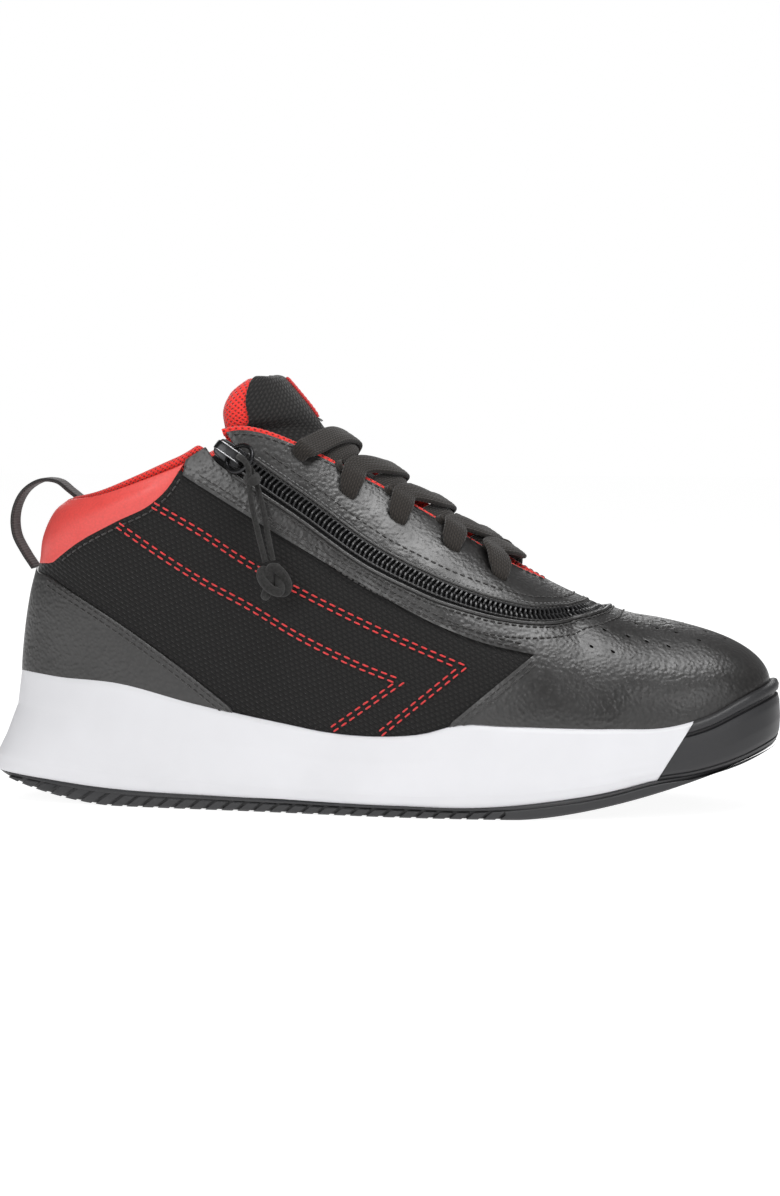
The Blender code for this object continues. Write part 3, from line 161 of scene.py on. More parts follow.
PLATE_FOOT = [                       # heel x, toe x, inset and height of the outsole's lower rows
    (-120.8, 116.4, 5.6, 1.6), (-121.5, 117.0, 5.0, .25), (-125.0, 120.6, 2.4, .15), (-126.2, 121.6, 1.7, .5)]
PLATE_SIDE = [(.3, 1.6), (.62, 1.5), (.68, .3), (.86, .1), (1.0, .6)]    # height fraction, inset above them
TREAD = (-121.5, 117.0)              # heel and toe end of the outline that the tread keeps inside
TREAD_INSET, TREAD_PITCH, TREAD_STEP = 8.5, 6.2, 2.5
TREAD_BAR = [(-1.4, 1.6), (-1.1, 0), (1.1, 0), (1.4, 1.6)]    # a bar's section: along the sole, up
ZIGZAG, ZIGZAG_LENGTH = 2.6, 14      # the bars' swing and its repeat across the sole
LUG_PITCH, LUG_LENGTH, LUG_SLANT, LUG_END = 5.2, 3.65, 1.35, 42.0
LUG_SECTION = [(0, .95), (.2, .3), (.85, .15), (1, .5), (1, 6), (0, 6)]    # height fraction and inset
RIM_T = 1.3                          # smooth rim above the outsole's lugs

ROLL_SECTION = [                     # t and depth round the collar roll
    (.77, 2.1), (.86, 2.1), (.955, 1.9), (.988, .45), (1.012, 1.6), (1.012, 5.0), (.96, 7.8), (.90, 8.8),
    (.83, 8.4), (.77, 6.0)]
LOOP_ROOT = (-99.5, 95.0)            # the pull loop's end inside the collar foam
TOOTH_PITCH, TOOTH_L, TOOTH_W, TOOTH_T = 1.6, 3.1, 0.95, 1.25
CHAIN_FROM_Q = .372                  # start of the chain, the tapes and the throat's rims
TAPE_DEPTH, TAPE_T = 1.95, 0.6
TAPE_END_GAP, END_PATCH_R = 0.012, 9.5    # the tapes' end before the zip's, in w, and the patch there
SLIDER_OUTLINE = [                   # half of the slider's plate: down the zip, across it
    (-5, 1.6), (-4.4, 2.6), (-1.5, 3.1), (2.5, 3.1), (4.8, 2.4)]
SLIDER_RAIL = (-3.8, 4.4, 2.5, 3.1)  # from and to down the zip, and across it
BRIDGE = [                           # the slider's bridge: down the zip, out of the skin
    (-4.6, .9), (-4.6, 2.6), (-4.0, 3.7), (-2.4, 4.1), (0, 4.15), (2.4, 4.1), (4.0, 3.7), (4.6, 2.6),
    (4.6, .9)]
KNOT_R, KNOT_SWING, KNOT_FLAT, KNOT_REACH, KNOT_WIRE = 2.9, 1.15, .6, 3.9, 1.5    # the trefoil knot
WRAP_AT, WRAP_DEEP, WRAP_SIDE, WRAP_WIRE = 4.8, 3.6, 1.7, 1.05    # the band that holds the cord's two runs

STRIP_LOW, STRIP_HIGH, STRIP_DEPTH = 13.0, 5.0, 4.5    # knit strip inside the fold
TONGUE_Q = (.735, .70, .66, .60, .55, .50, .46, .42, .385)    # q of the tongue's rows under the throat
TONGUE_ROWS, TONGUE_COLS = 110, 72
TONGUE_T, TONGUE_SWELL = 4.2, 3.6    # the pad's thickness at its front, and what it gains to its top
TONGUE_EDGE = 5.0                    # width of the tongue pad's rounded edge
LABEL_ROWS, LABEL_COLS = slice(78, 101), slice(35, 56)    # the label's place on the tongue's grid
LACE_W, LACE_T = 7.6, 1.9
LACE_LOW, LACE_HIGH = 3.0, 5.3       # height of the crossing laces above the throat's middle line
LACE_GATHER, LACE_GATHERED = .13, .45    # share of a pass that narrows at its eyelet, and its width there
THROAT_AT, THROAT_FALL = (-20, 115), .67    # a point of the throat's middle line (x, z), and its slope
SPINE = (.83, 0, -.56)               # direction of the throat, towards the toe

RED_LINES = [                        # side view of the red double rows, corner last but one
    [(-82.2, 88.7), (-71.8, 81.7), (-55.7, 71.8), (-39.7, 63.6), (-23.8, 54.6), (-7.9, 47.3), (8.8, 41.2),
     (-13.4, 25.6)],
    [(-70.9, 95), (-55.7, 86.6), (-39.8, 76.7), (-24, 68.5), (-8.3, 61), (7.6, 54.1), (28.1, 46),
     (1.8, 24.6)]]
PERFORATIONS = [
    (66.4, 51.5), (72.9, 49.9), (69.8, 56.1), (76.9, 54), (82.7, 52.4), (89.4, 50.9), (79, 57.1),
    (85.5, 55.7), (91.3, 54.5), (98.5, 52.3), (74.1, 60.3), (80, 58.9), (87.1, 57.4), (93.5, 56),
    (99.9, 54.3), (106, 52.1)]


# ---- small tools ---------------------------------------------------------
def smooth(knots, values, x):
    """Smooth cubic through (knot, value) pairs; the values may be vectors."""
    knots = np.asarray(knots, float)
    values = np.asarray(values, float)
    v = values if values.ndim > 1 else values[:, None]
    x = np.clip(np.asarray(x, float), knots[0], knots[-1])
    h = np.diff(knots)
    d = np.diff(v, axis=0) / h[:, None]
    m = np.empty_like(v)
    m[0], m[-1] = d[0], d[-1]
    m[1:-1] = (d[:-1] * h[1:, None] + d[1:] * h[:-1, None]) / (h[1:] + h[:-1])[:, None]
    i = np.clip(np.searchsorted(knots, x, side="right") - 1, 0, len(knots) - 2)
    t = ((x - knots[i]) / h[i])[..., None]
    hi = h[i][..., None]
    out = ((2 * t**3 - 3 * t**2 + 1) * v[i] + (t**3 - 2 * t**2 + t) * hi * m[i]
           + (-2 * t**3 + 3 * t**2) * v[i + 1] + (t**3 - t**2) * hi * m[i + 1])
    return out if values.ndim > 1 else out[..., 0]


def height(table, x):
    """A height read at x from a table of (x, height)."""
    knots, values = zip(*table)
    return smooth(knots, values, x)


def unit(v):
    return v / np.maximum(np.linalg.norm(v, axis=-1, keepdims=True), 1e-9)


def arc(points):
    """Distance run along a polyline, at each of its points."""
    return np.concatenate([[0], np.cumsum(np.linalg.norm(np.diff(points, axis=0), axis=1))])


def sampled(at, s, values):
    """Rows of values, known at distances s, read at other distances."""
    return np.stack([np.interp(at, s, column) for column in np.asarray(values).T], 1)


def along(points, count):
    """A smooth curve through points, resampled to count even steps."""
    pts = np.asarray(points, float)
    s = arc(pts)
    return smooth(s, pts, np.linspace(0, s[-1], count))


def resample(points, step):
    """Even steps along a polyline of surface coordinates, measured on the skin."""
    pts = np.asarray(points, float)
    xyz = skin(pts[:, 0], pts[:, 1])
    s = arc(xyz)
    count = max(2, int(round(s[-1] / step)) + 1)
    return sampled(np.linspace(0, s[-1], count), s, pts)


def bezier(a, b, c, d, count):
    """Points along the curve from a to d with handles b and c."""
    s = np.linspace(0, 1, count)[:, None]
    return (1 - s)**3 * a + 3 * (1 - s)**2 * s * b + 3 * (1 - s) * s**2 * c + s**3 * d


# ---- the shoe's surface -------------------------------------------------
def plan(q, side, heel, toe, inset):
    """Sole outline: q runs 0 heel to 1 toe, side is -1 lateral or +1 medial."""
    u = (1 - np.cos(pi * q)) / 2
    half = np.where(side < 0, smooth(PLAN_U, LATERAL_HALF, u), smooth(PLAN_U, MEDIAL_HALF, u)) - inset
    blunt = np.where(u < .5, .62, .66)
    y = side * half * np.sin(pi * np.clip(q, 0, 1))**blunt + TOE_SWING * smooth([0, .6, 1], [0, 0, 1], u)
    return heel + (toe - heel) * u, y


def fold(w):
    """Split the run-around coordinate w into q and side; w < 0 and w > 1 are medial."""
    w = np.asarray(w, float)
    side = np.where((w < 0) | (w > 1), 1.0, -1.0)
    return np.where(w > 1, 2 - w, np.abs(w)), side


def skin(w, t):
    """Point on the upper's outside. t: -1 cup floor, 0 feather line, 1 top."""
    w, t = np.broadcast_arrays(np.asarray(w, float), np.asarray(t, float))
    q, side = fold(w)
    row = smooth([s[0] for s in STATIONS], [s[1:] for s in STATIONS], q)
    x, y = plan(q, side, HEEL_X, TOE_X, FEATHER_INSET)
    feather = height(FEATHER_Z, x) - 1.0
    base = np.stack([x, y, feather], -1)
    across = np.where(q >= RIDGE_Q, 1.0, side)
    top = np.stack([row[..., 0], across * row[..., 1], row[..., 2]], -1)
    handle_top = top + np.stack([row[..., 3], side * row[..., 4], row[..., 5]], -1)
    handle_base = base + np.stack([row[..., 7], side * row[..., 8], row[..., 6]], -1)
    s = np.clip(t, 0, None)[..., None]
    point = ((1 - s)**3 * base + 3 * (1 - s)**2 * s * handle_base
             + 3 * (1 - s) * s**2 * handle_top + s**3 * top)
    point[..., 2] += np.clip(t, None, 0) * (feather - height(FLOOR_Z, x) - 0.3)
    return point


def slopes(w, t):
    """How far a point of the skin moves for each unit of w, and for each unit of t."""
    return ((skin(w + NUDGE, t) - skin(w - NUDGE, t)) / (2 * NUDGE),
            (skin(w, t + NUDGE) - skin(w, t - NUDGE)) / (2 * NUDGE))


def normal(w, t):
    """Outward direction of the skin; straight up along the toe's ridge."""
    w, t = np.broadcast_arrays(np.asarray(w, float), np.asarray(t, float))
    n = np.cross(*slopes(w, t))
    q, _ = fold(w)
    crest = skin(np.minimum(q + NUDGE, 1), 1.0) - skin(q - NUDGE, 1.0)
    upright = np.stack([-crest[..., 2], np.zeros_like(q), crest[..., 0]], -1)
    ridge = (t > 1 - 1e-6) & (q >= RIDGE_Q)
    return unit(np.where(ridge[..., None], upright, n))


def layer(w, t, depth):
    """A point at some depth under the skin."""
    return skin(w, t) - normal(w, t) * depth


def on_skin(points):
    """Surface coordinates (q, t) of lateral points given as seen from the side."""
    goal = np.asarray(points, float)
    gq, gt = np.meshgrid(np.linspace(.02, .98, 97), np.linspace(0, 1, 51), indexing="ij")
    grid = skin(gq, gt)[..., [0, 2]].reshape(-1, 2)
    near = np.argmin(((goal[:, None] - grid[None])**2).sum(-1), 1)
    q, t = gq.ravel()[near].copy(), gt.ravel()[near].copy()
    for _ in range(12):
        e = 1e-4
        here = skin(q, t)[:, [0, 2]]
        dq = (skin(q + e, t)[:, [0, 2]] - here) / e
        dt = (skin(q, t + e)[:, [0, 2]] - here) / e
        det = dq[:, 0] * dt[:, 1] - dq[:, 1] * dt[:, 0]
        miss = goal - here
        q = q + np.clip((miss[:, 0] * dt[:, 1] - miss[:, 1] * dt[:, 0]) / det, -.02, .02)
        t = np.clip(t + np.clip((dq[:, 0] * miss[:, 1] - dq[:, 1] * miss[:, 0]) / det, -.04, .04), -.5, 1)
    return np.stack([q, t], 1)


def shift(path, distance):
    """Move a surface path sideways by distance, positive towards the throat."""
    path = np.asarray(path, float)
    w, t = path.T
    xyz = skin(w, t)
    tangent = np.gradient(xyz, axis=0)
    ridge = (t > 1 - 1e-6) & (fold(w)[0] >= RIDGE_Q)
    tangent[ridge] = (0, 1, 0)
    sideways = unit(np.cross(normal(w, t), unit(tangent)))
    dw, dt = slopes(w, t)
    goal = sideways * np.broadcast_to(np.asarray(distance, float), w.shape)[:, None]
    a, b, c = (dw * dw).sum(1), (dw * dt).sum(1), (dt * dt).sum(1)
    d, f = (dw * goal).sum(1), (dt * goal).sum(1)
    det = a * c - b * b
    new_w = w + np.where(ridge, d / a, (d * c - f * b) / det)
    new_t = t + np.where(ridge, 0, (f * a - d * b) / det)
    return np.stack([new_w, new_t], 1)


def flat(path):
    """Surface coordinates to a nearly even flat pattern, in millimetres."""
    w, t = np.asarray(path, float).T
    return np.stack([w * FLAT_W, np.where(t > 0, t * FLAT_T, t * FLAT_FOOT)], 1)


def unflat(points):
    """Flat pattern millimetres back to surface coordinates."""
    x, y = np.asarray(points, float).T
    return np.stack([x / FLAT_W, np.where(y > 0, y / FLAT_T, y / FLAT_FOOT)], 1)


def spaced(outline, gap=.2):
    """An outline without the points that lie closer than gap to the one before."""
    pattern = flat(outline)
    return outline[np.linalg.norm(pattern - np.roll(pattern, 1, 0), axis=1) > gap]


def inside(points, loop):
    """Which points lie within a closed outline."""
    x, y = points.T
    hit = np.zeros(len(points), bool)
    for (x0, y0), (x1, y1) in zip(loop, np.roll(loop, -1, 0)):
        if abs(y1 - y0) < 1e-12:
            continue
        cross = (y0 > y) != (y1 > y)
        hit ^= cross & (x < (x1 - x0) * (y - y0) / (y1 - y0) + x0)
    return hit


# ---- seam paths ----------------------------------------------------------
def medial(path):
    """The same path on the medial side, as a toe-centred coordinate."""
    return np.stack([2 - path[:, 0], path[:, 1]], 1)


def ridge_q(x):
    """q at which the ridge has a given x."""
    qs = np.linspace(RIDGE_Q, 1, 601)
    return float(np.interp(x, skin(qs, np.ones_like(qs))[:, 0], qs))


def zip_half():
    """The zip's middle on one side: collar to ridge, as (q, t)."""
    side = on_skin(along(ZIP_SEAM, 44))
    start = np.array([[ZIP_TOP_Q, 1.0]])
    end = np.array([[ridge_q(ZIP_RIDGE_X), 1.0]])
    lead = side[-1] + (end[0] - side[-1]) * np.array([[.55, .45]])
    return np.concatenate([start, side[1:], lead, end])


def fold_line():
    """The medial fold, collar to zip end, as (q, t)."""
    path = on_skin(along(FOLD_SEAM, 30))
    return np.concatenate([[[path[0, 0] - .012, 1.0]], path])


def zip_whole():
    """Zip path from the lateral collar round the front to its medial end."""
    half = zip_half()
    back = medial(half)[::-1][1:]
    end = fold_line()[-1]
    keep = back[:, 0] < 2 - end[0] - .004
    return np.concatenate([half, back[keep], [[2 - end[0], end[1]]]])


def split_path(path):
    """Part a zip-like path into its lateral and medial runs, both ending on the ridge."""
    at = 3 + int(np.argmax(path[3:, 1] > 1 - 1e-6))
    back = path[at:].copy()
    back[0, 0] = 2 - back[0, 0]
    return path[:at + 1], back


def start_at(path, top):
    """Cut off the start of a descending path so that it begins exactly at height top."""
    first = int(np.argmax(path[:, 1] < top - .004))
    if first == 0:
        return np.concatenate([[[path[0, 0], top]], path])
    a, b = path[first - 1], path[first]
    f = (a[1] - top) / (a[1] - b[1])
    return np.concatenate([[[a[0] + f * (b[0] - a[0]), top]], path[first:]])


def edge_run(points, count, first=None):
    """A seam as (q, t), optionally tied to a given first point."""
    path = on_skin(along(points, count))
    return path if first is None else np.concatenate([[first], path])


def heel_side(path):
    """A (q, t) path on the medial side in the heel-centred coordinate."""
    return np.stack([-path[:, 0], path[:, 1]], 1)


# ---- shapes of the sole, lining and tongue -------------------------------
def ring(heel, toe, inset, z_of):
    """A loop round the sole's outline, at the height z_of(x)."""
    w = np.arange(SOLE_POINTS) / SOLE_POINTS * 2
    q, side = fold(w)
    x, y = plan(q, side, heel, toe, inset)
    return np.stack([x, y, z_of(x)], -1)


def feather_ring(depth, z_of):
    """A loop round the foot's cup, under the feather line."""
    w = np.arange(SOLE_POINTS) / SOLE_POINTS * 2
    p = layer(w, np.full(SOLE_POINTS, -.5), depth)
    p[:, 2] = z_of(p[:, 0])
    return p


def ground(x):
    """Height of the outsole's underside, which rises at the heel and the toe."""
    heel = np.clip((HEEL_ROLL_X - x) / 36, 0, None)**1.6 * 6.5
    toe = np.clip((x - TOE_ROLL_X) / 74, 0, None)**1.6 * 18.5
    return heel + toe


def rubber_top(x):
    return height(RUBBER_Z, x)


def cup_floor(x):
    return height(FLOOR_Z, x)


def feather_top(x):
    return height(FEATHER_Z, x)


def lining_top(w):
    """Height of the lining's edge: level at the collar, then just under the zip or fold."""
    q, side = fold(w)
    zip_run = shift(zip_half()[:-1], -LINING_LAP)
    fold_run = fold_line()
    zip_edge = np.interp(q, zip_run[:, 0], zip_run[:, 1], right=2)
    fold_edge = np.minimum(np.interp(q, fold_run[:, 0], fold_run[:, 1], right=2) - .025, .98)
    front = shift(zip_half(), -LINING_LAP)[-1, 0]
    climb = np.interp(q, [zip_run[-1, 0], front], [zip_run[-1, 1], 1])
    zip_edge = np.where(q > zip_run[-1, 0], climb, zip_edge)
    edge = np.where((side < 0) | (q > fold_run[-1, 0]), zip_edge, fold_edge)
    edge = np.where(q >= front, 1, edge)
    return np.minimum(edge, np.where(q < .5, .74, 1))


def throat_ridge(x):
    """Height of the throat's middle line above the tongue."""
    return THROAT_AT[1] - THROAT_FALL * (x - THROAT_AT[0])


def tongue_grid():
    """Rows from the front of the throat to the tongue's top, columns from edge to edge."""
    zip_run = zip_half()
    fold_run = fold_line()
    rows = []
    for q in TONGUE_Q:
        ridge = smooth([k[0] for k in TONGUE_RIDGE], [k[1:] for k in TONGUE_RIDGE], q)
        top = np.array([ridge[0], 0, ridge[1]])
        halves = []
        for run, w in ((zip_run, q), (fold_run, 2 - q)):
            t = float(np.interp(q, run[:, 0], run[:, 1])) + .06
            t = min(t, .93)
            if q > fold_run[-1, 0]:
                t = float(np.interp(q, zip_run[:, 0], zip_run[:, 1])) + .10
            edge = layer(w, t, 5.2)
            up = unit(skin(w, t + .01) - skin(w, t))
            reach = abs(edge[1])
            handle = np.array([top[0], edge[1] * .5, top[2]])
            halves.append(bezier(edge, edge + up * reach * .35, handle, top, 7))
        rows.append(np.concatenate([halves[0], halves[1][::-1][1:]]))
    for rx, rz, ex, ey, ez in TONGUE_TOP:
        top = np.array([rx, 0, rz])
        left = bezier(np.array([ex, -ey, ez]), np.array([ex + 9, -ey, ez + 1]),
                      np.array([rx, -ey * .6, rz]), top, 7)
        right = left * [1, -1, 1]
        rows.append(np.concatenate([left, right[::-1][1:]]))
    return np.array(rows)


def grid_normals(grid):
    """Directions square to a grid of points, up and forwards at its middle."""
    n = unit(np.cross(np.gradient(grid, axis=0), np.gradient(grid, axis=1)))
    return n * np.sign(n[..., 0:1] + n[..., 2:3] * .5)[len(grid) // 2, grid.shape[1] // 2]


def frame_at(x, z, lift):
    """Origin and axes (down the zip, across it, out of the skin) on the lateral side."""
    q, t = on_skin([(x, z)])[0]
    out = normal(q, t)
    down = np.array(SLIDER_DOWN)
    down = unit(down - out * (down @ out))
    return skin(q, t) + out * lift, down, np.cross(out, down), out


# ---- making meshes -------------------------------------------------------
def make(name, verts, faces, look, lay=None, weld=0.0, crease=50):
    """A mesh object from points in millimetres; lay holds pattern coordinates in millimetres."""
    mesh = bpy.data.meshes.new(name)
    mesh.from_pydata((np.asarray(verts, float) * MM).tolist(), [], [tuple(f) for f in faces])
    if lay is not None:
        mesh.attributes.new("lay", "FLOAT_VECTOR", "POINT")
        mesh.attributes["lay"].data.foreach_set("vector", np.asarray(lay, np.float32).ravel())
    bm = bmesh.new()
    bm.from_mesh(mesh)
    if weld:
        bmesh.ops.remove_doubles(bm, verts=bm.verts, dist=weld * MM)
    bmesh.ops.recalc_face_normals(bm, faces=bm.faces)
    bm.to_mesh(mesh)
    bm.free()
    mesh.shade_smooth()
    mesh.set_sharp_from_angle(angle=radians(crease))
    mesh.materials.append(look)
    obj = bpy.data.objects.new(name, mesh)
    bpy.context.scene.collection.objects.link(obj)
    return obj


def settle(obj):
    """Replace the object's mesh by what its modifiers make of it."""
    graph = bpy.context.evaluated_depsgraph_get()
    done = bpy.data.meshes.new_from_object(obj.evaluated_get(graph))
    obj.modifiers.clear()
    obj.data = done
    return obj


def round_edges(obj, width, angle):
    """Bevel the edges sharper than angle and keep the result."""
    rim = obj.modifiers.new("rim", "BEVEL")
    rim.width = width * MM
    rim.segments = 3
    rim.limit_method = "ANGLE"
    rim.angle_limit = radians(angle)
    settle(obj)
    obj.data.shade_smooth()
    return obj


def thicken(obj, thick, edge):
    """Give an open sheet its thickness inwards and round its cut edge."""
    solid = obj.modifiers.new("thickness", "SOLIDIFY")
    solid.thickness = thick * MM
    solid.offset = -1
    return round_edges(obj, edge, 55)


def on_body(obj, body, slot, *nodes):
    """Ride the piece on a body and hide the nodes that it stands for; slot is not used."""
    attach(obj, body)
    if nodes:
        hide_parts(*nodes)
    return obj


def edge_distance(points, loop):
    """Distance of each pattern point from a closed outline."""
    best = np.full(len(points), 1e9)
    for a, b in zip(loop, np.roll(loop, -1, 0)):
        d = b - a
        s = np.clip(((points - a) @ d) / max(d @ d, 1e-12), 0, 1)
        best = np.minimum(best, np.linalg.norm(points - a - s[:, None] * d, axis=1))
    return best


def circle_on_skin(q, t, radius, count=12):
    """A round hole's outline on the skin."""
    per_q, per_t = (np.linalg.norm(slope) for slope in slopes(q, t))
    return circle(np.array([q, t]), np.array([radius / per_q, 0]), np.array([0, radius / per_t]), count)


def pattern_mesh(loop, cuts):
    """Points and triangles that fill a pattern outline, without the area of the cuts."""
    low, high = loop.min(0), loop.max(0)
    gx, gy = np.meshgrid(np.arange(low[0], high[0], SHEET_STEP),
                         np.arange(low[1], high[1], SHEET_STEP * .87))
    gx[1::2] += SHEET_STEP / 2
    lattice = np.stack([gx.ravel(), gy.ravel()], 1)
    lattice = lattice[inside(lattice, loop)]
    points, edges = [], []
    for rim in [loop, *cuts]:
        lattice = lattice[edge_distance(lattice, rim) > .5 * SHEET_STEP]
        first, count = len(points), len(rim)
        edges += [(first + i, first + (i + 1) % count) for i in range(count)]
        points += list(rim)
    found = delaunay_2d_cdt([Vector(p) for p in [*points, *lattice]], edges, [], 1, 1e-4)
    where, triangles = np.array([tuple(p) for p in found[0]]), np.array(found[2])
    for cut in cuts:
        triangles = triangles[~inside(where[triangles].mean(1), cut)]
    return where, triangles


def cut_sheet(name, outlines, depth, look, holes=(), puff=0.0, reach=5.0, thick=1.5, edge=.32):
    """A pattern piece cut out of the skin, with holes, an optional soft swell and a rounded edge."""
    verts, faces = [], []
    for outline in outlines:
        loop = flat(spaced(outline, .12))
        cuts = [c for c in (flat(h) for h in holes) if inside(c[:1], loop)[0]]
        where, triangles = pattern_mesh(loop, cuts)
        w, t = unflat(where).T
        t = np.where(np.abs(t - 1) < 1e-5, 1, t)
        level = np.full(len(w), float(depth))
        if puff:
            level -= puff * (1 - np.exp(-(edge_distance(where, loop) / reach)**2))
        faces += [tuple(f + len(verts)) for f in triangles]
        verts += list(layer(w, t, level[:, None]))
    lay = [(x, z, 0) for x, y, z in verts]
    obj = make(name, verts, faces, look, lay, weld=.004, crease=180)
    face_out(obj)
    return thicken(obj, thick, edge)


def face_out(obj):
    """Turn an open sheet so that its faces look away from the foot."""
    mesh = obj.data
    if sum(p.area * (p.normal @ Vector((0, p.center.y, p.center.z - .045))) for p in mesh.polygons) < 0:
        mesh.flip_normals()
    mesh.update()


def quads(rows, cols, base=0, around=True, closed=False):
    """Faces between rows of points; around joins the ends of a row, closed the last row to the first."""
    faces = []
    for r in range(rows if closed else rows - 1):
        a, b = base + r * cols, base + (r + 1) % rows * cols
        for i in range(cols if around else cols - 1):
            j = (i + 1) % cols
            faces.append((a + i, a + j, b + j, b + i))
    return faces


def tube(rows, cols, base=0):
    """The faces of a bar made of loops of points, closed at both ends."""
    last = base + (rows - 1) * cols
    return quads(rows, cols, base) + [tuple(range(base, base + cols)), tuple(range(last, last + cols))]


def loft(name, sections, look, closed=False, lay=None, crease=50):
    """A surface through loops of points that all have the same count."""
    sections = np.asarray(sections, float)
    count, n = sections.shape[:2]
    faces = quads(count, n, closed=True) if closed else tube(count, n)
    return make(name, sections.reshape(-1, 3), faces, look, lay, crease=crease)


def circle(middle, u, v, count):
    """Even points round an ellipse with half axes u and v."""
    a = np.linspace(0, 2 * pi, count, endpoint=False)[:, None]
    return middle + np.cos(a) * u + np.sin(a) * v


def sweep(name, line, up, section, look, crease=60):
    """A bar along a line: section(s) gives its (across, up) outline at s from 0 to 1."""
    line = np.asarray(line, float)
    tangent = unit(np.gradient(line, axis=0))
    up = np.broadcast_to(np.asarray(up, float), line.shape)
    across = unit(np.cross(tangent, up))
    over = np.cross(across, tangent)
    run = arc(line)
    sections, lay = [], []
    for i, p in enumerate(line):
        outline = np.asarray(section(run[i] / run[-1]), float)
        sections.append(p + outline[:, :1] * across[i] + outline[:, 1:] * over[i])
        lay += [(run[i], a, h) for a, h in outline]
    return loft(name, sections, look, lay=lay, crease=crease)


def rounded(half_w, half_t, count=20, power=3.0, ribs=0, depth=0.0):
    """A flat band's outline with round edges, optionally ribbed."""
    a = np.linspace(0, 2 * pi, count, endpoint=False)
    x = np.sign(np.cos(a)) * np.abs(np.cos(a))**(2 / power)
    y = np.sign(np.sin(a)) * np.abs(np.sin(a))**(2 / power)
    swell = 1 + depth * np.cos(ribs * pi * x) if ribs else 1
    return np.stack([x * half_w, y * half_t * swell], 1)


def round_bar(radius, sides):
    """A round bar's outline."""
    return circle(np.zeros(2), np.array([radius, 0]), np.array([0, radius]), sides)


def beads(name, centres, ahead, out, size, look, body, slot, arch=.35, *nodes):
    """One thread-like capsule at each centre, all in one mesh; size is length, width and height."""
    stations = [(-.5, .25), (-.46, .7), (-.3, 1), (0, 1), (.3, 1), (.46, .7), (.5, .25)]
    sides = 6
    turns = [2 * pi * k / sides for k in range(sides)]
    template = np.array([(x, r * cos(a) / 2, r * sin(a) / 2 - arch * (2 * x)**2)
                         for x, r in stations for a in turns])
    faces = tube(len(stations), sides)
    ahead, out = unit(ahead), unit(out)
    side = unit(np.cross(out, ahead))
    length, width, tall = size
    verts = (centres[:, None] + template[None, :, :1] * length * ahead[:, None]
             + template[None, :, 1:2] * width * side[:, None]
             + template[None, :, 2:] * tall * out[:, None])
    all_faces = [tuple(f + k * len(template) for f in face) for k in range(len(centres)) for face in faces]
    lay = np.tile(template * [length, width, tall], (len(centres), 1))
    obj = make(name, verts.reshape(-1, 3), all_faces, look, lay)
    return on_body(obj, body, slot, *nodes)


def stitches(name, runs, finish):
    """Rows of stitches along surface paths, as the table of seams has them."""
    yarn, body, slot, depth, pitch, length, width = SEAMS[name]
    centres, ahead, out = [], [], []
    for run in runs:
        path = resample(run, .5)
        line, up = layer(*path.T, depth), normal(*path.T)
        s = arc(line)
        at = np.arange(pitch / 2, s[-1] - length / 2, pitch)
        for source, target in ((line, centres), (np.gradient(line, axis=0), ahead), (up, out)):
            target.append(sampled(at, s, source))
    return beads(name, np.concatenate(centres), np.concatenate(ahead), np.concatenate(out),
                 (length, width, width), finish[yarn], body, slot)


